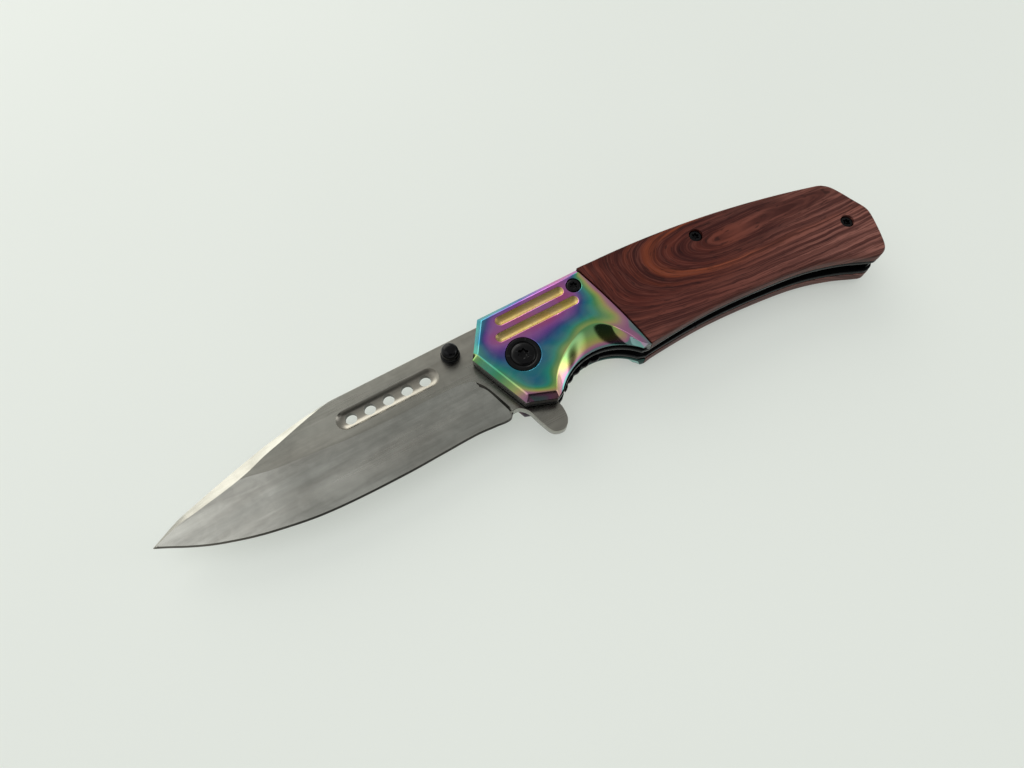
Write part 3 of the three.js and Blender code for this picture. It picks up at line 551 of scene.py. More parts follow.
def make_film():
    """Colours of a thin oxide film on titanium as it grows: gold, violet, blue, teal, green, yellow, pink."""
    tree, takes, gives = group("Oxide film", "Thickness", 0.5, ["Color"], "Color")
    drift = span(tree, noise(tree, takes["Vector"], 90.0, 2.0), 0.3, 0.7, -0.02, 0.02)
    feed(tree, gives, {"Color": colours(tree, plus(tree, takes["Thickness"], drift), [
        (0.00, (0.53, 0.43, 0.11)), (0.08, (0.54, 0.36, 0.12)), (0.16, (0.60, 0.13, 0.38)),
        (0.24, (0.44, 0.14, 0.52)), (0.31, (0.24, 0.11, 0.48)), (0.37, (0.08, 0.12, 0.38)),
        (0.43, (0.035, 0.22, 0.42)), (0.50, (0.04, 0.31, 0.36)), (0.57, (0.05, 0.46, 0.36)),
        (0.64, (0.14, 0.48, 0.18)), (0.72, (0.45, 0.68, 0.18)), (0.79, (0.74, 0.62, 0.22)),
        (0.87, (0.72, 0.34, 0.42)), (0.94, (0.60, 0.24, 0.46)), (1.00, (0.10, 0.42, 0.36))])})


def make_rosewood():
    """Growth rings cut at a slant, as distances d from a heart line: the height over the line, which rises
    to the left of the heart and falls to its right, 0.38 times the way left of the heart, over
    1 + 0.25 (height / 9 mm)^2, which keeps the outer rings straight, and 0.07 times the way right of it.
    The distance is sqrt(d^2 + core^2), so the heart itself stays calm, and it grows with the depth under
    the face, so the grain runs lengthwise on the sides too. Noise over d gives bands, lines and, where it
    crosses its middle, thin threads; a sine of d gives the yearly rings; short dark pores and fine fibres
    lie along them."""
    left_fall, left_reach, right_reach, straighten, straight_over = -0.12, 0.38, 0.07, 0.25, 0.009
    core, slant, ring_span, year = 0.006, 0.7, 0.0255, 0.0015
    tree, takes, gives = group("Rosewood figure", "Droop", 0.15,
                               ["Ring", "Years", "Lines", "Bands", "Threads", "Pores", "Fibre", "Patch"])
    at = takes["Vector"]
    bent = at
    for size, amount in ((30.0, 0.0022), (120.0, 0.0009), (420.0, 0.0003)):
        warp = vectors(tree, "SUBTRACT", noise(tree, at, size, 1.5, "Color", Roughness=0.5), (0.5, 0.5, 0.5))
        bent = vectors(tree, "ADD", bent, vectors(tree, "MULTIPLY", warp, (amount, amount, amount)))
    parts = separate(tree, bent)
    right = mathematics(tree, "MAXIMUM", parts["X"], 0.0)
    left = mathematics(tree, "MAXIMUM", times(tree, parts["X"], -1.0), 0.0)
    height = plus(tree, parts["Y"], times(tree, right, takes["Droop"]))
    height = plus(tree, height, times(tree, left, left_fall))
    steep = times(tree, mathematics(tree, "ABSOLUTE", height), 1 / straight_over)
    over = mathematics(tree, "POWER", steep, 2.0)
    flatten = plus(tree, times(tree, over, straighten), 1.0)
    away = node(tree, "ShaderNodeCombineXYZ", {
        "X": height, "Y": mathematics(tree, "DIVIDE", times(tree, left, left_reach), flatten),
        "Z": times(tree, right, right_reach)})
    reach = vectors(tree, "LENGTH", away.outputs[0], result="Value")
    distance = mathematics(tree, "SQRT", plus(tree, times(tree, reach, reach), core**2))
    depth = mathematics(tree, "ABSOLUTE", separate(tree, at)["Z"])
    distance = plus(tree, distance, times(tree, depth, slant))
    flow = node(tree, "ShaderNodeCombineXYZ", {"X": distance, "Y": parts["X"], "Z": parts["Y"]}).outputs[0]

    def drawn(across, along, detail, rough=0.55):
        """Noise that is fine across the rings and long with them."""
        return noise(tree, drawn_out(tree, flow, (across, along, along)), 1.0, detail, Roughness=rough)
    thread = mathematics(tree, "ABSOLUTE", mathematics(tree, "SUBTRACT", drawn(900.0, 26.0, 1.5), 0.5))
    phase = plus(tree, times(tree, distance, 2 * math.pi / year), times(tree, drawn(260.0, 24.0, 1.0), 16.0))
    wave = span(tree, mathematics(tree, "SINE", phase), -1.0, 0.8)
    feed(tree, gives, {
        "Ring": times(tree, distance, 1 / ring_span),
        "Years": times(tree, wave, span(tree, drawn(150.0, 40.0, 1.0), 0.36, 0.6, 0.25, 1.0)),
        "Lines": span(tree, drawn(1500.0, 24.0, 3.0, 0.6), 0.36, 0.64),
        "Bands": span(tree, drawn(420.0, 16.0, 2.0), 0.36, 0.64),
        "Threads": span(tree, thread, 0.004, 0.045, 1.0, 0.0),
        "Pores": span(tree, drawn(5200.0, 300.0, 1.0), 0.6, 0.72),
        "Fibre": drawn(7000.0, 110.0, 2.0),
        "Patch": span(tree, noise(tree, at, 60.0, 2.0), 0.38, 0.66)})


# Paler patches of the blade, partly hazy polish and partly painted reflection, strongest at the point, as
# (share of the way from the point, strength)
HAZE_AND_REFLECTION_PATCHES = ((0.0, 0.7), (0.14, 0.45), (0.3, 0.3), (0.42, 0.5), (0.52, 0.12), (0.6, 0.02), (0.7, 0.5),
                 (0.84, 0.45), (0.92, 0.2), (1.0, 0.0))
WARM_TINT = (0.40, 0.335, 0.275)

# Copies of the blade's steel for its facets, as (name, share of the steel's tones, roughness, hazy patches
# and painted reflection, mottling).
# The share is painted light and shade: the bevel and the swedge lighter as painted highlight, the slot a
# little darker, and the plunge, the slot's hole walls and the edge darker, as painted shade.
BLADE_FACETS_AND_PAINTED_SHADE = (
    ("ground steel", (1.0, 1.0, 1.0), 0.26, 0.4, 0.2),
    ("bevel steel", (1.36, 1.38, 1.42), 0.24, 0.45, 0.22),
    ("plunge steel", (0.12, 0.12, 0.12), 0.3, 0.0, 0.2),
    ("swedge steel", (1.12, 1.13, 1.13), 0.27, 0.0, 0.16),
    ("slot steel", (0.9, 0.88, 0.86), 0.3, 0.0, 0.1),
    ("edge steel", (0.6, 0.6, 0.6), 0.35, 0.0, 0.1))
FLAT, BEVEL, PLUNGE, SWEDGE, SLOT, EDGE = range(len(BLADE_FACETS_AND_PAINTED_SHADE))


def surface(name):
    """A new material's tree, its shader and its object coordinates."""
    material = bpy.data.materials.new(name)
    material.use_nodes = True
    tree = material.node_tree
    return tree, tree.nodes["Principled BSDF"], node(tree, "ShaderNodeTexCoord").outputs["Object"]


def bump(tree, height, distance, strength):
    """A normal raised by a height given in millimetres."""
    inputs = {"Height": height, "Strength": strength, "Distance": distance / 1000.0}
    return node(tree, "ShaderNodeBump", inputs).outputs[0]


def kept_value(tree, name):
    """A value that is kept on the mesh at each point."""
    return node(tree, "ShaderNodeAttribute", attribute_name=name).outputs["Fac"]


def ground_steel(name, dark, light, rough, pitch=1.0, cloud_size=0.03, milky_and_reflection=0.0, worn=0.5, mottled=0.0):
    """Bare steel with grinding lines, cloudy polish, small mottling and, towards the point, paler patches:
    partly hazy polish, partly painted reflection.
    """
    tree, shader, where = surface(name)
    lines = place(tree, "Brushing", where, Pitch=pitch)["Lines"]
    marks, fine = (place(tree, "Clouds", where, Size=cloud_size * share) for share in (1.0, 0.3))
    tone = plus(tree, times(tree, marks["Cloud"], 0.45), times(tree, fine["Streak"], 0.35))
    tone = plus(tree, tone, times(tree, span(tree, lines, 0.35, 0.65), 0.2))
    base = blend(tree, tone, dark, light)
    pale = [min(1.0, c * 1.6) for c in light]
    if mottled:
        blot, speck = (place(tree, "Clouds", where, Size=cloud_size * share) for share in (0.5, 0.1))
        base = blend(tree, times(tree, blot["Streak"], 0.22), base, WARM_TINT)
        base = blend(tree, times(tree, speck["Cloud"], mottled), base, [c * 0.55 for c in dark])
        base = blend(tree, times(tree, speck["Streak"], mottled * 0.6), base, pale)
    # partly painted reflection: the base turns paler in patches, most at the point
    if milky_and_reflection:
        bent = plus(tree, separate(tree, where)["X"], span(tree, marks["Streak"], 0.0, 1.0, -0.004, 0.004))
        share = share_of(tree, bent, -0.105, -0.045)
        haze_and_reflection = colours(tree, share, [(at, (value,) * 3) for at, value in HAZE_AND_REFLECTION_PATCHES])
        haze_and_reflection = times(tree, haze_and_reflection, span(tree, fine["Streak"], 0.25, 0.75, 0.3, 1.5))
        base = blend(tree, times(tree, haze_and_reflection, milky_and_reflection, True), base, pale)
    if worn:
        base = blend(tree, place(tree, "Edge wear", where, Amount=worn)["Wear"], base, pale)
    grain = plus(tree, span(tree, marks["Streak"], 0, 1, rough - 0.05, rough + 0.07),
                 span(tree, lines, 0.3, 0.7, -0.02, 0.02))
    feed(tree, shader, {"Base Color": base, "Metallic": 1.0, "Roughness": grain,
                        "Normal": bump(tree, lines, 0.004, 0.06)})


def black_finish(name, dark, worn, rough, wear_amount, shine):
    """Dark coated steel: faint mottling, a satin sheen and edges rubbed to a lighter grey."""
    tree, shader, where = surface(name)
    marks = place(tree, "Clouds", where, Size=0.004)
    base = blend(tree, times(tree, marks["Cloud"], 0.5), dark, [c * 1.8 for c in dark])
    feed(tree, shader, {
        "Base Color": blend(tree, place(tree, "Edge wear", where, Amount=wear_amount)["Wear"], base, worn),
        "Roughness": span(tree, marks["Streak"], 0, 1, rough - 0.05, rough + 0.08),
        "Specular IOR Level": shine,
        "Normal": bump(tree, noise(tree, where, 6000.0, 2.0), 0.004, 0.15)})


def rainbow_finish(name):
    """Polished metal under a thin oxide film, whose thickness is kept on the mesh as a value at each point.
    Its upright walls and seats, where the kept value open is 0, are painted nearly black as painted shade."""
    tree, shader, where = surface(name)
    film = place(tree, "Oxide film", where, Thickness=kept_value(tree, "film"))["Color"]
    marks = place(tree, "Clouds", where, Size=0.006)
    film = blend(tree, times(tree, marks["Cloud"], 0.12), film, (0.75, 0.75, 0.78))
    # painted shade: where open is 0 the film is blended most of the way to near black
    walls = blend(tree, 0.88, film, (0.006, 0.006, 0.007))
    gloss = span(tree, marks["Streak"], 0, 1, 0.07, 0.15)
    fine = place(tree, "Brushing", where, Pitch=1.5)["Lines"]
    feed(tree, shader, {"Base Color": blend(tree, kept_value(tree, "open"), walls, film), "Metallic": 1.0,
                        "Roughness": plus(tree, gloss, times(tree, kept_value(tree, "satin"), 0.36)),
                        "Normal": bump(tree, fine, 0.002, 0.12)})


def rosewood_finish(name, heart, droop, side):
    """Oiled rosewood round a heart point on the front, 1, or rear, -1: rings from dark to orange brown,
    thin dark lines, pores and fibres, and a painted sheen that makes it paler towards the tail and the belly."""
    tree, shader, where = surface(name)
    x, y = (np.array(heart) + PIVOT[:2]) / 1000.0
    moved = vectors(tree, "SUBTRACT", where, (x, y, (PIVOT[2] + side * FACE) / 1000.0))
    wood = place(tree, "Rosewood figure", moved, Droop=droop)
    base = colours(tree, wood["Ring"], [
        (0.235, (0.130, 0.028, 0.016)), (0.255, (0.110, 0.024, 0.014)), (0.29, (0.045, 0.010, 0.008)),
        (0.325, (0.034, 0.008, 0.007)), (0.365, (0.070, 0.014, 0.010)), (0.392, (0.250, 0.058, 0.020)),
        (0.43, (0.110, 0.022, 0.011)), (0.54, (0.044, 0.009, 0.007)), (0.65, (0.095, 0.019, 0.013)),
        (0.76, (0.050, 0.010, 0.008)), (0.84, (0.090, 0.019, 0.013)), (0.92, (0.056, 0.012, 0.010)),
        (1.00, (0.080, 0.018, 0.013))])
    parts = separate(tree, where)
    # painted sheen: a pale pinkish brown blended in towards the tail and the belly
    pale = plus(tree, span(tree, parts["X"], 0.05, 0.1, 0.0, 0.5),
                span(tree, parts["Y"], 0.004, -0.012, 0.0, 0.28))
    for share, tint in ((times(tree, wood["Bands"], 0.35), (0.130, 0.026, 0.017)),
                        (times(tree, wood["Patch"], 0.2), (0.17, 0.036, 0.017)),
                        (pale, (0.31, 0.135, 0.108)),
                        (span(tree, wood["Lines"], 0.1, 0.75, 0.72, 0.0), (0.030, 0.006, 0.006)),
                        (times(tree, wood["Years"], 0.52), (0.030, 0.006, 0.006)),
                        (times(tree, wood["Threads"], 0.35), (0.022, 0.005, 0.005)),
                        (span(tree, wood["Fibre"], 0.45, 0.7, 0.0, 0.35), (0.19, 0.06, 0.044)),
                        (times(tree, wood["Pores"], 0.55), (0.010, 0.004, 0.004))):
        base = blend(tree, share, base, tint)
    relief = mathematics(tree, "SUBTRACT", times(tree, wood["Fibre"], 0.5), wood["Pores"])
    feed(tree, shader, {"Base Color": base, "Roughness": span(tree, wood["Fibre"], 0.3, 0.7, 0.40, 0.52),
                        "Specular IOR Level": 0.13, "Coat Weight": 0.02, "Coat Roughness": 0.3,
                        "Normal": bump(tree, relief, 0.015, 0.4)})


# Sizes and colours that a user would change

def length(name, description, usual, least, most):
    """A length property, whose numbers are given here in millimetres."""
    return FloatProperty(name=name, description=description, default=usual / 1000.0, min=least / 1000.0,
                         max=most / 1000.0, unit="LENGTH", precision=5)


def colour(name, description, usual):
    """A colour property."""
    return FloatVectorProperty(name=name, description=description, default=usual, min=0.0, max=1.0,
                               subtype="COLOR")


class KnifeSizes(bpy.types.PropertyGroup):
    """Sizes of the dressed pieces."""
    micro_bevel: length("Micro bevel", "Width of the sharpened edge on each side", 0.5, 0.1, 2.0)
    slot_length: length("Slot length", "Length of the slot in the blade's face", 29.3, 10.0, 40.0)
    slot_width: length("Slot width", "Width of the slot in the blade's face", 5.4, 3.0, 8.0)
    slot_depth: length("Slot depth", "Depth of the slot in the front face, less than half of it behind",
                       0.85, 0.2, 1.2)
    slot_holes: IntProperty(name="Slot holes", description="Number of holes through the slot's floor",
                            default=5, min=0, max=7)
    groove_width: length("Groove width", "Width of the two grooves in the bolster", 2.7, 1.0, 4.0)
    groove_depth: length("Groove depth", "Depth of the two grooves in the bolster", 0.62, 0.2, 1.2)
    scale_round: length("Scale rounding", "Radius of the wooden scale's outer edge", 1.5, 0.2, 3.0)
    tooth_depth: length("Tooth depth", "Depth of the thumb teeth on the lock bar", 0.7, 0.2, 1.0)

    def mm(self, name):
        """One of the lengths in millimetres."""
        return getattr(self, name) * 1000.0


class KnifeColours(bpy.types.PropertyGroup):
    """Colours of the finishes."""
    steel_dark: colour("Steel, dark", "Darker tone of the ground blade", (0.285, 0.282, 0.25))
    steel_light: colour("Steel, light", "Lighter tone of the ground blade", (0.42, 0.417, 0.375))
    black: colour("Black steel", "Coated screws, studs and clip", (0.002, 0.002, 0.0024))
    bench: colour("Bench", "The pale surface that the knife lies on", (0.80, 0.84, 0.79))


# Operators

class KNIFE_OT_finishes(bpy.types.Operator):
    """Makes the node groups and the materials."""
    bl_idname = "knife.finishes"
    bl_label = "Finishes"

    def execute(self, context):
        tint = context.scene.knife_colours
        for make in (make_brushing, make_clouds, make_edge_wear, make_film, make_rosewood):
            make()
        # each facet's copy of the steel is scaled by its share: painted light and shade
        for name, share, rough, milky_and_reflection, mottled in BLADE_FACETS_AND_PAINTED_SHADE:
            dark, light = np.array(tint.steel_dark) * share, np.array(tint.steel_light) * share
            ground_steel(name, dark.tolist(), light.tolist(), rough, 1.0, 0.026, milky_and_reflection, 0.0, mottled)
        ground_steel("grey steel", (0.08, 0.082, 0.085), (0.2, 0.2, 0.21), 0.36, 1.6, 0.01)
        ground_steel("bronze", (0.32, 0.19, 0.08), (0.5, 0.33, 0.15), 0.35, 1.6, 0.008)
        black_finish("black steel", tint.black, (0.05, 0.05, 0.055), 0.13, 0.25, 0.22)
        black_finish("liner steel", (0.004, 0.004, 0.0045), (0.04, 0.045, 0.05), 0.22, 0.4, 0.06)
        rainbow_finish("rainbow coating")
        rosewood_finish("rosewood front", (66.0, 4.0), 0.07, 1)
        rosewood_finish("rosewood rear", (60.0, 6.0), 0.1, -1)
        return {"FINISHED"}


# Knots of the blade's four lines, tip first, as (share of the reach, share of EDGE_DROP or of SPINE_Y)
EDGE_KNOTS = ((1, 0.133), (0.965, -0.017), (0.926, -0.192), (0.877, -0.383), (0.828, -0.533), (0.78, -0.658),
              (0.731, -0.758), (0.633, -0.908), (0.536, -0.975), (0.39, -1), (0.293, -0.983), (0.195, -0.967),
              (0.144, -1), (0.102, -1.017), (RICASSO_SHARE, -0.892))
SPINE_KNOTS = ((1, 0.113), (0.926, 0.347), (0.877, 0.453), (0.78, 0.64), (0.682, 0.807), (0.584, 0.927),
               (0.488, 0.995), (0.45, 1), (RICASSO_SHARE, 1))
SWEDGE_KNOTS = ((1, 0.1), (0.926, 0.253), (0.877, 0.307), (0.78, 0.427), (0.731, 0.513), (0.682, 0.633),
                (0.633, 0.727), (0.584, 0.827), (0.536, 0.917), (0.488, 0.989), (0.45, 0.995),
                (RICASSO_SHARE, 0.995))
GRIND_KNOTS = ((1, 0.66), (0.745, 0.447), (0.686, 0.36), (0.633, 0.313), (0.536, 0.253), (0.488, 0.22),
               (0.39, 0.187), (0.195, 0.173), (0.161, 0.147), (0.139, 0.1), (0.124, -0.007), (0.112, -0.16),
               (0.1, -0.4), (RICASSO_SHARE, -0.693))


def blade_lines(x):
    """Heights at x of the blade's four lines: edge, top of the grind, foot of the swedge and spine."""
    edge = EDGE_DROP * height_line(x, EDGE_KNOTS)
    spine, swedge, grind = (SPINE_Y * height_line(x, knots)
                            for knots in (SPINE_KNOTS, SWEDGE_KNOTS, GRIND_KNOTS))
    return edge, np.maximum(grind, edge + 0.05), np.minimum(swedge, spine - 0.05), spine


def blade_skin():
    """The ground blade: for each x, the height runs from the edge over the bevel, the flat grind, the
    plunge, the full thickness and the swedge to the spine, and the half thickness is a straight line
    between those lines. The grind's plane runs on to the foot of the plunge, which is PLUNGE_WIDTH wide
    across its own line."""
    near = np.linspace(-13.4, RICASSO_X, 46)
    x = np.r_[-REACH, -REACH + np.array([0.15, 0.4, 0.8, 1.4]), np.linspace(-REACH + 2.2, -13.6, 130), near]
    edge, grind, swedge, spine = blade_lines(x)
    top = np.minimum(grind, swedge)
    plane_top = np.maximum(grind, 0.15 * SPINE_Y)
    bevel = np.minimum(edge + bpy.context.scene.knife_sizes.mm("micro_bevel"), (edge + top) / 2)
    shoulder, thin, back, eased = 0.24, 0.05, 0.2, 0.14

    def ground(y):
        """Half thickness of the flat grind at the height y."""
        return shoulder + (BLADE_HALF - shoulder) * np.clip((y - bevel) / (plane_top - bevel), 0, 1)
    ridge = np.where(grind < swedge, BLADE_HALF, ground(swedge))
    foot = grind - PLUNGE_WIDTH * np.hypot(1.0, np.gradient(grind, x))
    foot = np.clip(foot, bevel + 0.3 * (top - bevel), top - 0.1 * (top - bevel))
    crown = np.minimum(np.maximum(back, ridge - 0.42 * (spine - swedge)), ridge)
    full = x > RICASSO_X - 0.01
    line_y = [edge, bevel, foot, top, swedge, spine]
    line_z = [np.full_like(x, thin), ground(bevel), ground(foot), ridge, ridge, crown]
    line_z = [np.where(full, BLADE_HALF, z) for z in line_z]
    steps = [(0,), (0, 0.35, 0.7), (0, 0.5), (0, 0.5), (0, 0.5)]
    rows = []
    for k, shares in enumerate(steps):
        for t in shares:
            rows.append(np.column_stack([x, line_y[k] + (line_y[k + 1] - line_y[k]) * t,
                                         line_z[k] + (line_z[k + 1] - line_z[k]) * t]))
    eased_y, eased_z = np.minimum(eased, 0.3 * (spine - swedge)), np.minimum(eased, crown * 0.5)
    for down, out in ((1.0, 1.0), (0.3, 0.7), (0.0, 0.0)):
        rows.append(np.column_stack([x, spine - eased_y * down, crown - eased_z * (1 - out)]))
    front = np.array(rows)
    front[:, 0] = (x[0], spine[0], 0.0)
    return np.concatenate([front, (front * (1, 1, -1))[::-1]]).transpose(1, 0, 2)


# Knots of the flipper's lever, as (share of its reach from the pivot, degrees from the tang's rear shoulder)
FLIPPER_KNOTS = ((0.755, 0), (0.83, 1.1), (0.905, 2.8), (0.968, 5.8), (1, 9.0), (1, 12.6), (0.985, 15.8),
                 (0.95, 18.6), (0.8, 24.8), (0.65, 33.5))


def tang_outline():
    """The tang: shoulder, round back, lock face and flipper."""
    reach, tang, play = 21.3, SPINE_Y - 4.7, 0.3
    pin = math.degrees(math.asin(STOP_PIN_RADIUS / STOP_PIN_ORBIT))
    shoulder, rear = STOP_PIN_TURN + pin + play, STOP_PIN_TURN - pin - play - CLOSING_TURN
    lock_x, notch_y = LOCK_TIP_X - 0.25, -2.15
    notch_top = math.degrees(math.asin(notch_y / tang))
    notch_low = -math.degrees(math.acos(lock_x / tang))
    lever = [polar(share * reach, rear - turn) for share, turn in FLIPPER_KNOTS]
    start_y = -0.892 * EDGE_DROP
    flipper = through(lever + [(0.763 * RICASSO_X, -0.933 * EDGE_DROP), (0.865 * RICASSO_X, start_y),
                               (RICASSO_X, start_y)], 8)[:-1]
    back = polar(SPINE_Y / math.sin(math.radians(shoulder)), shoulder)
    inside = RICASSO_X - 0.4
    return np.vstack([[(inside, start_y), (inside, SPINE_Y)], [back],
                      arc(0, 0, tang, shoulder, notch_top, 50), [(lock_x, notch_y)],
                      arc(0, 0, tang, notch_low, rear, 12), flipper])


def stadium(x, y, length, width):
    """A slot's outline: two half circles joined by straight sides."""
    reach = (length - width) / 2
    return np.vstack([arc(x + reach, y, width / 2, -90, 90, 32), arc(x - reach, y, width / 2, 90, 270, 32)])


class KNIFE_OT_blade(bpy.types.Operator):
    """Makes the ground blade with its slot, holes, tang and flipper."""
    bl_idname = "knife.blade"
    bl_label = "Blade"

    def execute(self, context):
        sizes = context.scene.knife_sizes
        blade = settle(weld(closed_rings("ground_blade", blade_skin(), 30.0), 0.002))
        tang = plate("tang", tang_outline(), -BLADE_HALF, BLADE_HALF, 0.1, 0.1, 3)
        combine(blade, [tang], "UNION")
        x, y = SLOT_AT
        depth, width, along = (sizes.mm("slot_" + name) for name in ("depth", "width", "length"))
        slot, rear_share = stadium(x, y, along, width), 0.45
        cutters = [self.slot_cutter(slot, width / 2, deep, way)
                   for deep, way in ((depth, 1), (depth * rear_share, -1))]
        pitch, radius = 5.37, 1.6
        for i in range(sizes.slot_holes):
            along_slot = (i - (sizes.slot_holes - 1) / 2) * pitch
            cutters.append(rod(x + along_slot, y, radius, -BLADE_HALF, BLADE_HALF, 40))
        low, high = -BLADE_HALF - 1, BLADE_HALF + 1
        pocket = polar(BALL_ORBIT, BALL_TURN - CLOSING_TURN)
        cutters += [rod(0, 0, BARREL_HOLE, low, high), rod(*STUD, STUD_HOLE, low, high, 32),
                    rod(*pocket, BALL_POCKET, low, 0.5 - BLADE_HALF, 32)]
        combine(blade, cutters)

        def flat_part(spot):
            """Away from the plunge and from the slot."""
            off_plunge = (spot[:, 0] < RICASSO_X - 4.6) | (spot[:, 0] > RICASSO_X + 0.1) | (spot[:, 1] > 3.0)
            off_slot = ((np.abs(spot[:, 0] - x) > along / 2 - 0.02)
                        | (np.abs(spot[:, 1] - y) > width / 2 - 0.02))
            return off_plunge & off_slot
        crease(blade, 2.2, 24.0, flat_part)
        ease(blade, 0.08, 60.0)
        dress(blade, "ground steel", "blade", "blade")
        self.mark_grinds(blade)
        return {"FINISHED"}

    def slot_cutter(self, outline, half, depth, way):
        """A slot's cutter with a dished bottom: at a share of its half width it is
        depth (1 - share^3.2) deep, and above the face it leans on outwards."""
        rings = []
        for share in np.r_[0.05, np.linspace(0.14, 1.0, 9), 1.15]:
            level = way * (BLADE_HALF - depth * (1 - share**3.2))
            rings.append(np.column_stack([inset(outline, half - half * share), np.full(len(outline), level)]))
        return closed_rings("slot", rings[::way])

    def mark_grinds(self, blade):
        """Gives the bevel, the plunge at its end, the swedge, the slot and its holes their own copies of the
        steel, whose shares of its tones paint the light and shade that each facet catches; the holes' walls
        share the plunge's darkest painted shade.
        """
        mesh = blade.data
        x, y, z = (read(mesh.polygons, "center", 3) * 1000.0 - PIVOT).T
        sizes = bpy.context.scene.knife_sizes
        along, width = sizes.mm("slot_length"), sizes.mm("slot_width")
        floor = BLADE_HALF - sizes.mm("slot_depth")
        level = np.abs(read(mesh.polygons, "normal", 3)[:, 2])
        edge, grind, swedge, _ = blade_lines(x)
        ground = (x < RICASSO_X) & (y < np.minimum(grind, swedge)) & (level > 0.3)
        steep = ground & (x > RICASSO_X - 5.5) & (level < 0.975) & (y > -11.0)
        in_slot = (np.abs(x - SLOT_AT[0]) < along / 2) & (np.abs(y - SLOT_AT[1]) < width / 2)
        in_slot &= np.abs(z) < BLADE_HALF - 0.01
        # painted shade: the slot's hole walls and the steep plunge take the darkest copy
        finish = np.select([in_slot & (level < 0.3) & (z < floor + 0.02), in_slot,
                            (x < RICASSO_X - 0.5) & (y < edge + sizes.mm("micro_bevel")), steep, ground,
                            (x < RICASSO_X) & (y > swedge)],
                           [PLUNGE, SLOT, EDGE, PLUNGE, BEVEL, SWEDGE], FLAT)
        for name, *_ in BLADE_FACETS_AND_PAINTED_SHADE[1:]:
            mesh.materials.append(bpy.data.materials[name])
        mesh.polygons.foreach_set("material_index", finish.astype(np.int32))


class KNIFE_OT_studs(bpy.types.Operator):
    """Makes the two thumb studs."""
    bl_idname = "knife.studs"
    bl_label = "Thumb studs"

    def execute(self, context):
        base, radius, height = BLADE_HALF, 2.6, 5.0
        foot = [(0.9, 0.0), (0.97, 0.01), (1.0, 0.03), (1.0, 0.27), (0.97, 0.295)]
        waist = [(0.86, 0.33), (0.78, 0.4), (0.755, 0.46), (0.8, 0.53), (0.87, 0.575)]
        dome = [(0.89, 0.63), (0.89, 0.7), (0.86, 0.78), (0.78, 0.87), (0.62, 0.945), (0.4, 0.985),
                (0.15, 1.0)]
        shape = through(foot + waist + dome, 4) * (radius, height) + (0.0, base)
        for side in ("front", "rear"):
            stud = turned("thumb_stud_%s_cap" % side, *STUD, shape, count=72)
            if side == "front":
                combine(stud, [rod(*STUD, STUD_SHANK, -base - 1.4, base + 0.5, 32)], "UNION")
            else:
                combine(far_side(stud), [rod(*STUD, STUD_HOLE, -base - 1.53, base, 32)])
            dress(stud, "black steel", "blade", "thumb_stud_" + side)
        return {"FINISHED"}


def driven_head(radius, low, top, chamfer, socket, depth):
    """Profile and lobes of a round head with a six-lobed socket, from its underside to the socket's floor."""
    lobe = 0.16
    flat, floor = radius - chamfer, top - depth
    profile = [(radius - 0.05, low), (radius, low + 0.05), (radius, top - chamfer - 0.02),
               (radius - 0.03, top - chamfer), (flat, top - 0.02), (flat - 0.04, top), (socket * 1.2, top),
               (socket * 1.04, top - 0.02), (socket, top - 0.1), (socket, floor),
               (socket * 0.9, floor - 0.04), (socket * 0.3, floor - 0.12)]
    return profile, [0] * 6 + [lobe * 0.6, lobe, lobe, lobe, lobe, 0]


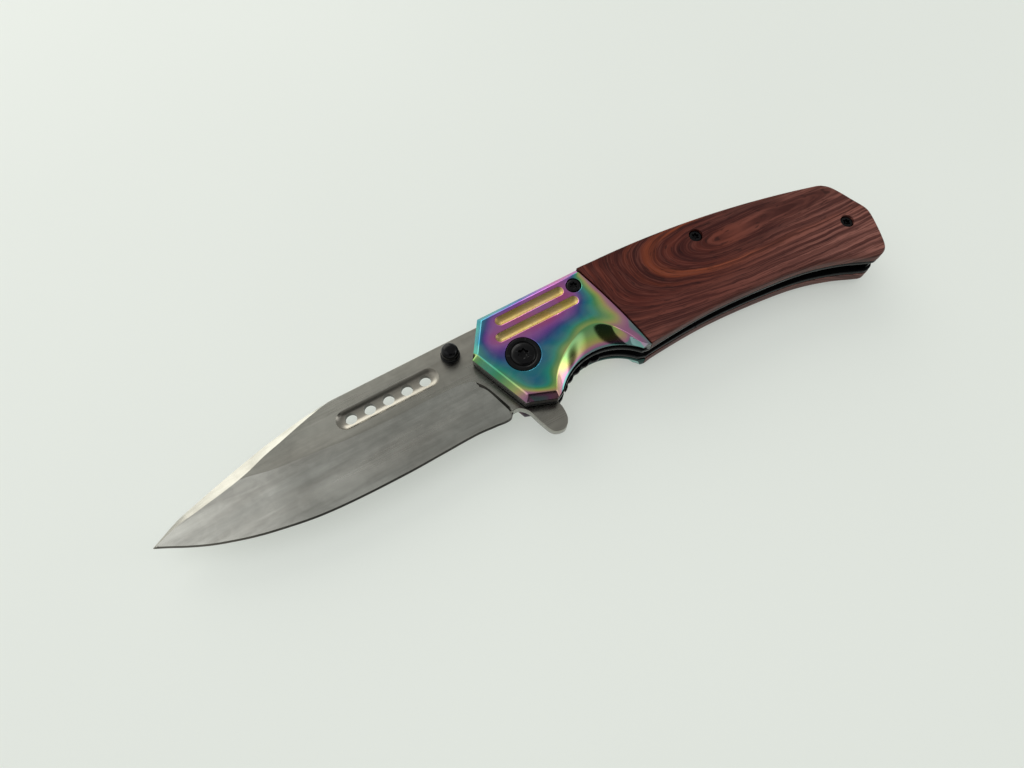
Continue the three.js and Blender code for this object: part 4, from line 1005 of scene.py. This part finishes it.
class KNIFE_OT_screws(bpy.types.Operator):
    """Makes the pivot's two heads and the eight screws."""
    bl_idname = "knife.screws"
    bl_label = "Pivot and screws"

    def execute(self, context):
        self.pivot()
        for name, spot, radius, sink in (("bolster", BOLSTER_SCREW, 2.0, 0.05), ("mid", MID_SCREW, 1.85, 0.5),
                                         ("tail", TAIL_SCREW, 1.85, 0.5)):
            under = FACE - sink - 1.5
            head = driven_head(radius, under, FACE - sink, 0.25, 0.9, 1.0)
            for side in ("front", "rear"):
                if (name, side) != ("tail", "rear"):
                    self.screw("%s_screw_%s" % (name, side), spot, head, 0.2, under + 0.3, side == "rear")
        under = FACE + 1.1
        head = driven_head(1.6, under, under + 0.7, 0.3, 0.78, 0.5)
        names = ("tail_screw_rear", "clip_screw_upper", "clip_screw_lower")
        for name, spot, tip in zip(names, CLIP_SCREWS, (0.2, LINER_INNER + 0.2, LINER_INNER + 0.2)):
            self.screw(name, on_clip(*spot), head, tip, under + 0.05, True)
        return {"FINISHED"}

    def pivot(self):
        """The pivot screw and the barrel. Both heads have a rim, a groove and a dome with a lobed socket."""
        low, top = FACE - 1.4, FACE + 0.35
        head = [(4.5, low), (4.6, low + 0.1), (4.6, FACE - 0.12), (4.5, FACE + 0.02), (4.32, FACE + 0.06),
                (3.66, FACE + 0.06), (3.56, FACE), (3.48, FACE - 0.2), (3.3, FACE - 0.22),
                (3.2, FACE - 0.05), (3.06, FACE + 0.1), (2.7, FACE + 0.22), (2.2, FACE + 0.31), (1.75, top),
                (1.5, top), (1.36, top - 0.04), (1.3, top - 0.14), (1.3, top - 1.15), (1.2, top - 1.2),
                (0.5, top - 1.28)]
        lobes = [0] * 14 + [0.08, 0.15, 0.16, 0.16, 0.16, 0]
        screw, barrel = (turned(name + "_head", 0, 0, head, lobes, 144)
                         for name in ("pivot_screw", "pivot_barrel"))
        combine(screw, [rod(0, 0, PIVOT_SHANK, -LINER_OUTER, low + 0.3, 48)], "UNION")
        combine(far_side(barrel), [rod(0, 0, BARREL, -low - 0.3, low - 0.03)], "UNION")
        combine(barrel, [rod(0, 0, PIVOT_HOLE, -LINER_OUTER - 0.4, FACE)])
        for piece, name in ((screw, "pivot_screw"), (barrel, "pivot_barrel")):
            dress(piece, "black steel", "handle", name)

    def screw(self, name, spot, head, tip, top, rear):
        """A turned head with a plain shank, which runs from its tip to a top inside the head."""
        screw = turned(name + "_head", *spot, *head)
        combine(screw, [rod(*spot, SCREW_SHANK, tip, top, 32)], "UNION")
        if rear:
            far_side(screw)
        dress(screw, "black steel", "handle", name)


def liner_outline(margin):
    """The liners' outline, set in by a margin from the bolsters and scales, with a slightly wider choil."""
    return inset(clean(handle_outline(CHOIL_RADIUS - 0.4)), margin)


class KNIFE_OT_liners(bpy.types.Operator):
    """Makes the liners and the lock bar, and finishes the inner pieces."""
    bl_idname = "knife.liners"
    bl_label = "Liners and lock"

    def execute(self, context):
        outline = liner_outline(0.08)
        spots = [(0.0, 0.0, BARREL_HOLE), (*polar(STOP_PIN_ORBIT, STOP_PIN_TURN), STOP_PIN_HOLE)]
        spots += [(*spot, SCREW_HOLE) for spot in (BOLSTER_SCREW, MID_SCREW, TAIL_SCREW)]
        for side in ("front", "rear"):
            liner = plate(side + "_liner", outline, LINER_INNER, LINER_OUTER, 0.12, 0.12, 3)
            combine(liner, [rod(x, y, r, 0, FACE, 48) for x, y, r in spots])
            if side == "rear":
                far_side(liner)
                root, below = LOCK_ROOT_X + 0.25, -24.0
                window = np.array([(6.0, below), (6.0, -1.9), (root, -6.5), (root, below)])
                combine(liner, [plate("window", window, -FACE, 0)])
            dress(liner, "liner steel", "handle", "liner_" + side)
        leaf, relief = self.leaf(context.scene.knife_sizes.mm("tooth_depth")), 0.03
        bar = plate("lock_bar_leaf", leaf, relief - LINER_OUTER, -LINER_INNER, 0.14, 0.14, 3)
        combine(bar, [rod(*polar(BALL_ORBIT, BALL_TURN), BALL_HOLE, -FACE, 0, 32)])
        self.lean(bar)
        dress(bar, "liner steel", "lock_bar", "lock_bar")
        steels = {"washer_front": "bronze", "washer_rear": "bronze", "stop_pin": "grey steel",
                  "detent_ball": "ground steel", "bolster_standoff": "grey steel",
                  "back_spacer": "liner steel"}
        for name, finish in steels.items():
            kept = frame["nodes"][name]
            cover(kept, finish)
            ease(weld(kept, 0.001), 0.1, 40.0)
        return {"FINISHED"}

    def leaf(self, depth):
        """The lock bar: its lower edge follows the choil, whose radius dips between teeth as 1 - |cos|."""
        proud, flat = CHOIL_RADIUS - 0.75, CHOIL_RADIUS - 0.15
        pitch, first, teeth_count = 10.7, 127.7, 4.35
        start = 180 - math.degrees(math.acos((CHOIL_X - LOCK_TIP_X) / proud))
        turn = np.linspace(start, CHOIL_FROM + 2, 240)
        phase = np.abs(np.cos(np.pi * (turn - first) / pitch))
        radius = np.where(turn > first - teeth_count * pitch, proud + depth * (1 - phase**0.7), flat)
        teeth = polar(radius, turn, CHOIL_X, CHOIL_Y)
        belly = liner_outline(0.1)
        belly = belly[(belly[:, 1] < 0.87 * JOINT_BOTTOM_Y) & (belly[:, 0] > 0.97 * JOINT_BOTTOM_X)
                      & (belly[:, 0] < 0.99 * LOCK_ROOT_X)]
        belly = belly[np.argsort(belly[:, 0])]
        root = [(LOCK_ROOT_X, belly[-1, 1]), (LOCK_ROOT_X, -7.0)]
        return np.vstack([[(LOCK_TIP_X, -2.4)], teeth, belly, root])

    def lean(self, bar):
        """Turns the bar about its root by 1.7 degrees, towards the blade."""
        spots = spots_of(bar)
        angle = math.radians(1.7)
        middle = -(LINER_INNER + LINER_OUTER) / 2
        x, z = spots[:, 0] - LOCK_ROOT_X, spots[:, 2] - middle
        leant = np.column_stack([x * math.cos(angle) + z * math.sin(angle) + LOCK_ROOT_X, spots[:, 1],
                                 -x * math.sin(angle) + z * math.cos(angle) + middle])
        bar.data.vertices.foreach_set("co", ((leant + PIVOT) / 1000.0).ravel())
        bar.data.update()


# Bolster

RIM_WIDTH, RIM_TOP_WIDTH, RIM_DEPTH = 1.7, 1.2, 1.2
JOINT_RIM = 0.35
SCOOP_DEPTH = 2.3

# The scoop's crest round the choil's centre, as (degrees, share of the choil's radius)
CREST = np.array([(34.5, 0.985), (48.1, 1.043), (60.5, 1.183), (69.4, 1.308), (78.7, 1.396), (88.5, 1.388),
                  (97.1, 1.325), (104.3, 1.275), (114.7, 1.22), (125.3, 1.174), (136.1, 1.127),
                  (150.5, 1.058)])

# The two grooves, as (x of the left end, x of the right end, y)
GROOVES = ((-2.0, 18.8, SPINE_Y - 3.7), (-4.1, 20.9, SPINE_Y - 8.0))


def line_distance(x, y, a, b):
    """How far inside the line from a to b a point lies, for a piece on the line's right."""
    along = np.subtract(b, a) / np.linalg.norm(np.subtract(b, a))
    return (x - a[0]) * along[1] - (y - a[1]) * along[0]


def soft_least(values, width):
    """The least of several heights, with the corner between two of them rounded over about that width."""
    stack = np.stack(values)
    least = stack.min(axis=0)
    return least - width * np.log(np.exp(-(stack - least) / width).sum(axis=0))


def crest_radius(x, y):
    """Radius of the scoop's crest about the choil's centre in the direction of (x, y)."""
    turn = np.degrees(np.arctan2(y - CHOIL_Y, x - CHOIL_X)) % 360
    fine = np.linspace(CREST[0, 0], CREST[-1, 0], 200)
    angles, shares = through(CREST, 20).T
    return CHOIL_RADIUS * np.interp(turn, fine, np.interp(fine, angles, shares))


def bolster_distances(x, y):
    """Distances inside the four straight rims, the joint and the scoop's crest."""
    corners = [*FRONT_CORNERS, (JOINT_TOP_X - RIM_TOP_WIDTH, SPINE_Y)]
    straight = [line_distance(x, y, a, b) for a, b in zip(corners[:-1], corners[1:])]
    joint = (joint_x(y) - x) * 0.985
    crest = np.hypot(x - CHOIL_X, y - CHOIL_Y) - crest_radius(x, y)
    return straight, joint, crest


def bolster_height(x, y, sizes):
    """Height of the bolster's face: the least of the flat, the chamfers, the scoop
    (depth times share^1.15 from rim to crest) and the round-bottomed grooves."""
    straight, joint, _ = bolster_distances(x, y)
    flat = np.full_like(x, FACE)
    slopes = [FACE - RIM_DEPTH + RIM_DEPTH * d / w
              for d, w in zip(straight, (RIM_WIDTH, RIM_WIDTH, RIM_TOP_WIDTH, RIM_TOP_WIDTH))]
    slopes.append(FACE - JOINT_RIM + joint)
    rise = np.hypot(x - CHOIL_X, y - CHOIL_Y) - CHOIL_RADIUS
    room = np.maximum(crest_radius(x, y) - CHOIL_RADIUS, 0.4)
    scoop = FACE - SCOOP_DEPTH + SCOOP_DEPTH * np.maximum(rise / room, 0) ** 1.15
    height = soft_least([flat, np.minimum(scoop, FACE + 2)], 0.15)
    height = soft_least([height, *slopes], 0.09)
    half, depth = sizes.mm("groove_width") / 2, sizes.mm("groove_depth")
    radius = (half**2 + depth**2) / (2 * depth)
    for start, stop, level in GROOVES:
        away = np.hypot(x - np.clip(x, start + half, stop - half), y - level)
        bowl = FACE - depth + radius - np.sqrt(np.maximum(radius**2 - away**2, 0.0))
        bowl = np.where(away < radius * 0.97, bowl, FACE + 2)
        height = soft_least([height, bowl], 0.03)
    return height


def film_thickness(spots):
    """The film is thinnest, magenta, in a band round the grooves, and grows away from it to blue and teal as
    0.18 + 0.29 (1 - exp(-(s / 4)^1.3)). Towards the rims, the joint and the crest it rises to each one's own
    peak as exp(-(d / reach)^power), so green, yellow and pink follow their outlines. Each rise is
    (distance, peak, reach, power)."""
    x, y, z = spots[:, 0], spots[:, 1], np.abs(spots[:, 2])
    straight, joint, crest = bolster_distances(x, y)
    away = np.hypot(x - np.clip(x, -4.0, 17.0), y - 9.5)
    film = 0.18 + 0.29 * (1 - np.exp(-(np.maximum(away - 3.4, 0) / 4.0) ** 1.3))
    film -= 0.07 * np.exp(-((x - 9.0) / 5.0) ** 2 - ((y - 4.4) / 2.2) ** 2)
    toward_chin = np.clip((6.0 - y) / 17.0, 0, 1)
    low_end = np.clip((-y - 2.0) / 5.0, 0, 1)
    joint_reach = 2.5 + 1.5 * np.clip((12.0 - y) / 8.0, 0, 1) + 0.9 * low_end
    turn = np.degrees(np.arctan2(y - CHOIL_Y, x - CHOIL_X))
    right_end = np.clip((76.0 - turn) / 16.0, 0, 1)
    to_joint = np.clip((x + 5.0) / 22.0, 0, 1)
    rises = [(straight[0], 1.0, 2.6, 2.4),
             (straight[1], 0.62 + 0.36 * toward_chin**3, 3.0, 2.2),
             (straight[2], 0.52, 2.9, 1.8),
             (straight[3], 0.52 - 0.3 * to_joint**0.6, 1.8, 2.0),
             (joint, 0.95 + 0.11 * low_end, joint_reach, 1.35),
             (np.maximum(crest, 0), 0.74 + 0.17 * right_end, 2.6, 1.4)]
    shares = np.array([np.exp(-(np.maximum(distance, 0) / reach) ** power)
                       for distance, _, reach, power in rises])
    whole = 1 - np.prod(1 - shares, axis=0)
    peak = sum(share**2 * rise[1] for share, rise in zip(shares, rises))
    peak = peak / np.maximum((shares**2).sum(axis=0), 1e-9)
    top = film + np.maximum(peak - film, 0) * whole
    film = top + 0.02 * np.sin(0.5 * x + 0.9 * y)
    front_chamfer = np.clip((RIM_WIDTH - straight[1]) / 0.15, 0, 1)
    film += front_chamfer * (0.6 + 0.35 * toward_chin**4 + 0.12 * (1 - toward_chin) ** 8 - film)
    top_chamfer = np.clip((RIM_TOP_WIDTH - straight[3]) / 0.15, 0, 1)
    film += top_chamfer * (0.5 - 0.3 * to_joint**1.6 - film)
    deep = np.clip((FACE - z) / SCOOP_DEPTH, 0, 1)
    inside = np.clip(-crest / 0.4, 0, 1)
    ends = np.clip((turn - 112.0) / 14.0, 0, 1) + np.clip((72.0 - turn) / 14.0, 0, 1)
    film = film * (1 - inside) + inside * (0.67 + 0.24 * deep**2.2 + 0.2 * ends * (1 - 0.6 * deep)
                                         + 0.13 * np.clip((deep - 0.8) / 0.2, 0, 1)
                                         + 0.35 * np.clip((58.0 - turn) / 8.0, 0, 1))
    groove = in_groove(x, y)
    film = film * (1 - groove) + groove * (0.02 + 0.05 * np.clip((FACE - z) / 0.9, 0, 1))
    return np.clip(film, 0.0, 1.0)


def in_groove(x, y):
    """1 inside the two grooves and 0 outside them."""
    half, soft = 1.35, 0.12
    groove = np.zeros_like(x)
    for start, stop, level in GROOVES:
        away = np.hypot(x - np.clip(x, start + half, stop - half), y - level)
        groove = np.maximum(groove, np.clip((half + 0.03 - away) / soft, 0, 1))
    return groove


class KNIFE_OT_bolsters(bpy.types.Operator):
    """Makes the two polished bolsters with chamfers, scoop, grooves and counterbores."""
    bl_idname = "knife.bolsters"
    bl_label = "Bolsters"

    def execute(self, context):
        sizes = context.scene.knife_sizes
        outline = np.vstack([FRONT_CORNERS, joint_edge(0.0),
                             arc(CHOIL_X, CHOIL_Y, CHOIL_RADIUS, CHOIL_FROM, CHOIL_TO, 40)])
        outline = clean(dense(clean(outline), 0.13))
        for side in ("front", "rear"):
            bolster = self.shell(side + "_bolster", outline, sizes)
            combine(bolster, [self.seat(0, 0, PIVOT_SEAT, PIVOT_SEAT_DEPTH, 128),
                              rod(0, 0, BARREL_HOLE, 0, FACE),
                              self.seat(*BOLSTER_SCREW, BOLSTER_SEAT, BOLSTER_SEAT_DEPTH, 96),
                              rod(*BOLSTER_SCREW, SCREW_HOLE, 0, FACE, 32)], smooth=50.0)
            spots = spots_of(bolster)
            give_value(bolster, "film", film_thickness(spots))
            give_value(bolster, "satin", in_groove(spots[:, 0], spots[:, 1]))
            face = bolster_height(spots[:, 0], spots[:, 1], sizes)
            # open is 1 on the face and 0 on the walls and seats below it, which the coating paints nearly
            # black as painted shade
            give_value(bolster, "open", np.clip((np.abs(spots[:, 2]) - face + 0.08) / 0.06, 0, 1))
            if side == "rear":
                far_side(bolster)
            ease(bolster, 0.06, 60.0)
            dress(bolster, "rainbow coating", "handle", "bolster_" + side)
        return {"FINISHED"}

    def seat(self, x, y, radius, depth, count):
        """A cutter for a screw head's seat, with a narrow slope round its mouth."""
        mouth = radius + 0.18
        profile = [(radius, FACE - depth), (radius, FACE - 0.16), (mouth, FACE + 0.02), (mouth, FACE + 2)]
        return turned("seat", x, y, profile, count=count)

    def shell(self, name, outline, sizes):
        """Rays from a middle point to the outline at the height of the face, with walls and a flat back."""
        middle = np.array([14.0, 6.0])
        ray = middle - outline
        length = np.linalg.norm(ray, axis=1)
        fine = np.r_[0.0, 0.03, np.arange(0.12, 2.6, 0.12)]
        share = np.linspace(0.0, 1.0, 64)[1:-1] ** 1.1
        near = fine[:, None] / length
        t = np.vstack([near, near[-1] + (1 - near[-1]) * share[:, None]])
        spots = outline + ray * t[..., None]
        z = bolster_height(spots[..., 0], spots[..., 1], sizes)
        face = np.concatenate([spots, z[..., None]], axis=-1)
        base = np.full(len(outline), LINER_OUTER)
        walls = [np.column_stack([edge, level]) for edge, level in (
            (inset(outline, 0.05), base), (outline, base + 0.05),
            (outline, z[0] - 0.1), (outline, z[0] - 0.03))]
        rings = np.concatenate([walls, face])
        rows, columns = rings.shape[:2]
        faces = quads(rows, columns)
        last = (rows - 1) * columns + np.arange(columns)
        hub = rows * columns
        fan = np.column_stack([last, (last + 1 - last[0]) % columns + last[0], np.full(columns, hub)])
        points = np.vstack([rings.reshape(-1, 3), [(*middle, bolster_height(*middle[:, None], sizes)[0])]])
        cap = [np.arange(columns)[::-1].tolist()]
        return piece_from(name, points, faces.tolist() + fan.tolist() + cap, 50.0)


class KNIFE_OT_scales(bpy.types.Operator):
    """Makes the two rosewood scales with round edges and screw holes."""
    bl_idname = "knife.scales"
    bl_label = "Wooden scales"

    def execute(self, context):
        radius, seat = context.scene.knife_sizes.mm("scale_round"), FACE - SCALE_SEAT_DEPTH
        outline = scale_outline()
        for side in ("front", "rear"):
            share = self.rounding if side == "front" else lambda spot: np.minimum(self.rounding(spot), 0.35)
            scale = plate(side + "_scale", outline, LINER_OUTER, FACE, 0.15, radius, 12, 40.0, share)
            holes = [rod(*MID_SCREW, SCALE_SEAT, seat, FACE + 1), rod(*MID_SCREW, SCREW_HOLE, 0, FACE, 32),
                     rod(*TAIL_SCREW, SCREW_HOLE, 0, FACE + 1, 32)]
            if side == "front":
                holes.append(rod(*TAIL_SCREW, SCALE_SEAT, seat, FACE + 1))
            combine(scale, holes, smooth=40.0)
            ease(scale, 0.12, 60.0)
            if side == "rear":
                far_side(scale)
            dress(scale, "rosewood " + side, "handle", "scale_" + side)
        return {"FINISHED"}

    def rounding(self, spot):
        """Share of the edge's radius: whole along the belly, a third along the back and the tail, least at
        the joint."""
        x, y = spot.T
        belly = np.clip((4.0 - y) / 8.0, 0, 1) * np.clip((TAIL_X - 3.0 - x) / 5.0, 0, 1)
        share = 0.33 + 0.67 * belly
        return np.where(x < joint_x(y) + 1.5, 0.08, share * np.clip((x - joint_x(y)) / 5.0, 0.25, 1))


class KNIFE_OT_clip(bpy.types.Operator):
    """Makes the pocket clip: a rounded strip carried along its bent middle line."""
    bl_idname = "knife.clip"
    bl_label = "Pocket clip"

    def execute(self, context):
        tail_u = TAIL_X - 3.6 - TAIL_SCREW[0]
        free_u, bend_u = tail_u - 46.0, tail_u - 13.0
        width, tip, thick, lift, corner = 9.0, 6.4, 1.1, 1.5, 4.5
        middle = through([(tail_u, 0), (bend_u + 1.2, 0), (bend_u - 0.3, 0.08), (bend_u - 1.7, 0.75),
                          (bend_u - 3.3, 1.42), (bend_u - 4.6, lift), (free_u + 13, lift),
                          (free_u + 10.5, 1.36), (free_u + 7, 0.75), (free_u + 4.6, 0.15),
                          (free_u + 3.2, 0.08), (free_u + 1.8, 0.42), (free_u, lift)], 12)
        u, h = middle[:, 0], np.minimum(middle[:, 1], lift - 0.01)
        half = np.interp(u, [free_u, bend_u, tail_u], [tip / 2, width / 2, width / 2])
        for radius, away in ((corner, tail_u - u), (tip / 2, u - free_u)):
            half = np.minimum(half, np.sqrt(np.maximum(radius**2 - np.maximum(radius - away, 0) ** 2, 0.04)))
        slope = np.gradient(h, u)
        outwards = np.column_stack([-slope, np.ones_like(u)]) / np.hypot(slope, 1)[:, None]
        v, w = self.section(thick)
        across = np.concatenate([half[:, None] + v, -half[:, None] - v[::-1]], axis=1)
        w = np.concatenate([w, w[::-1]])
        x, y = on_clip(u[:, None] + outwards[:, :1] * w, across)
        rings = np.stack([x, y, -FACE - (h[:, None] + outwards[:, 1:] * w)], axis=-1)
        clip = closed_rings("bent_pocket_clip", rings[::-1], 45.0)
        combine(clip, [rod(*on_clip(*spot), SCREW_HOLE, -FACE - 3, -FACE + 1, 32) for spot in CLIP_SCREWS],
                smooth=45.0)
        dress(clip, "black steel", "handle", "pocket_clip")
        return {"FINISHED"}

    def section(self, thick):
        """One side of the strip's section, from its outer to its inner face, with two corners of radius r:
        the way past the side, r sin t - r, and the height over the inner face."""
        r = 0.25
        t = np.radians(np.array([0, 30, 60, 90]))
        past, up = -r + r * np.sin(t), r * np.cos(t)
        return np.concatenate([past, past[::-1]]), np.concatenate([thick - r + up, r - up[::-1]])


# Stage

CAMERA_PLACE, CAMERA_TURN = (-0.047447, -0.063259, 0.19955), (21.43, -0.970, -29.618)

# Brightness of the room, as (place, tone): a place sums up the direction's Y and X, highest at the window
ROOM_TONES = ((-0.92, 0.34), (-0.2, 0.34), (0.0, 0.33), (0.1, 0.33), (0.2, 0.37), (0.35, 0.43), (0.55, 0.8),
              (0.75, 1.2), (0.92, 1.1))

# Round patches of the room, as (direction, cosine where the patch fades out, cosine where it is full, tone)
ROOM_PATCHES = (((0.74, -0.50, 0.45), 0.83, 0.95, 0.8), ((0.78, -0.57, 0.26), 0.90, 0.97, 1.7),
                ((-0.1, -0.53, 0.84), 0.925, 0.95, 0.02), ((0.51, -0.69, 0.51), 0.935, 0.965, 0.02))


class KNIFE_OT_stage(bpy.types.Operator):
    """Makes the pale bench, the lamps, the world and the camera."""
    bl_idname = "knife.stage"
    bl_label = "Stage"

    def execute(self, context):
        scene = context.scene
        self.bench(scene.knife_colours.bench)
        self.world(scene)
        self.lamp("window", (-0.08, 1.36, 0.74), 1.2, 6.9).data.color = (1.0, 0.97, 0.9)
        self.lamp("ceiling light", (-0.6, 0.12, 1.03), 0.7, 0.7)
        self.lamp("overhead fill", (0.0, 0.0, 1.6), 1.6, 7.7).visible_glossy = False
        view = bpy.data.cameras.new("camera")
        view.lens, view.sensor_width, view.clip_start = 27.07, 36.0, 0.01
        camera = bpy.data.objects.new("camera", view)
        camera.location = CAMERA_PLACE
        camera.rotation_euler = [math.radians(a) for a in CAMERA_TURN]
        scene.collection.objects.link(camera)
        scene.camera = camera
        scene.view_settings.view_transform = "Standard"
        return {"FINISHED"}

    def bench(self, tint):
        """A wide flat sheet, glossy as a lacquered table. The camera and reflections see part of its
        paleness as a glow, so the knife's shadow on it stays light."""
        reach, glow = 3.0, 0.45
        corners = np.array([(-1, -1), (1, -1), (1, 1), (-1, 1)]) * reach
        mesh = bpy.data.meshes.new("bench")
        mesh.from_pydata(np.column_stack([corners, np.zeros(4)]), [], [(0, 1, 2, 3)])
        bench = bpy.data.objects.new("bench", mesh)
        bpy.context.scene.collection.objects.link(bench)
        tree, shader, where = surface("bench")
        lit = [c * (1 - glow) for c in tint]
        tone = span(tree, noise(tree, where, 6.0, 2.0), 0.3, 0.7)
        ray = node(tree, "ShaderNodeLightPath").outputs
        seen = plus(tree, ray["Is Camera Ray"], ray["Is Glossy Ray"], True)
        feed(tree, shader, {"Base Color": blend(tree, tone, lit, [c * 1.03 for c in lit]), "Roughness": 0.4,
                            "Specular IOR Level": 0.25, "Emission Color": (*tint, 1.0),
                            "Emission Strength": times(tree, seen, glow)})
        cover(bench, "bench")

    def world(self, scene):
        """A soft room: brighter towards the window, with a pale wall low on the right and dark patches
        round the camera and beside that wall. The camera sees a backdrop in the bench's own pale tone
        instead, and so does glossy metal close to the horizon."""
        world = bpy.data.worlds.new("room")
        world.use_nodes = True
        tree = world.node_tree
        where = node(tree, "ShaderNodeTexCoord").outputs["Generated"]
        parts = separate(tree, where)
        side = plus(tree, times(tree, parts["Y"], 0.85), times(tree, parts["X"], -0.35))
        low, high = ROOM_TONES[0][0], ROOM_TONES[-1][0]
        share = share_of(tree, side, low, high)
        sky = colours(tree, share, [((at - low) / (high - low), (tone, 1.01 * tone, 0.98 * tone))
                                    for at, tone in ROOM_TONES])
        for middle, fades, full, tone in ROOM_PATCHES:
            toward = vectors(tree, "DOT_PRODUCT", where, middle, "Value")
            sky = blend(tree, span(tree, toward, fades, full), sky, (tone, tone, tone))
        ray = node(tree, "ShaderNodeLightPath").outputs
        low_wall = times(tree, ray["Is Glossy Ray"], span(tree, parts["Z"], 0.1, 0.02))
        seen = plus(tree, plus(tree, ray["Is Camera Ray"], ray["Is Transmission Ray"]), low_wall, True)
        sky = blend(tree, seen, sky, [c * 0.95 for c in scene.knife_colours.bench])
        feed(tree, tree.nodes["Background"], {"Color": sky, "Strength": 1.0})
        scene.world = world

    def lamp(self, name, spot, size, power):
        """A square soft lamp that looks at the knife."""
        light = bpy.data.lights.new(name, "AREA")
        light.shape, light.size, light.energy = "SQUARE", size, power
        lamp = bpy.data.objects.new(name, light)
        x, y, z = spot
        lamp.location = spot
        lamp.rotation_euler = (math.atan2(math.hypot(x, y), z), 0.0, math.atan2(-y, -x) - math.pi / 2)
        lamp.visible_camera = False
        bpy.context.scene.collection.objects.link(lamp)
        return lamp


class KNIFE_PT_panel(bpy.types.Panel):
    """Lists the sizes, the colours and the steps."""
    bl_label = "Folding knife"
    bl_idname = "KNIFE_PT_panel"
    bl_space_type = "VIEW_3D"
    bl_region_type = "UI"
    bl_category = "Knife"

    def draw(self, context):
        column = self.layout.column()
        for group_of in (context.scene.knife_sizes, context.scene.knife_colours):
            for name in group_of.__annotations__:
                column.prop(group_of, name)
        for step in OPERATORS:
            column.operator(step.bl_idname)


OPERATORS = (KNIFE_OT_finishes, KNIFE_OT_stage, KNIFE_OT_blade, KNIFE_OT_studs, KNIFE_OT_screws,
             KNIFE_OT_liners, KNIFE_OT_bolsters, KNIFE_OT_scales, KNIFE_OT_clip)
CLASSES = (KnifeSizes, KnifeColours, *OPERATORS, KNIFE_PT_panel)


def register():
    """Registers the classes and hangs the sizes and colours on the scene."""
    for cls in CLASSES:
        bpy.utils.register_class(cls)
    bpy.types.Scene.knife_sizes = PointerProperty(type=KnifeSizes)
    bpy.types.Scene.knife_colours = PointerProperty(type=KnifeColours)


def unregister():
    """Takes back what register did."""
    del bpy.types.Scene.knife_colours
    del bpy.types.Scene.knife_sizes
    for cls in reversed(CLASSES):
        bpy.utils.unregister_class(cls)


def main():
    """Makes the knife step by step."""
    register()
    for step in OPERATORS:
        family, action = step.bl_idname.split(".")
        getattr(getattr(bpy.ops, family), action)()


if __name__ == "__main__":
    main()
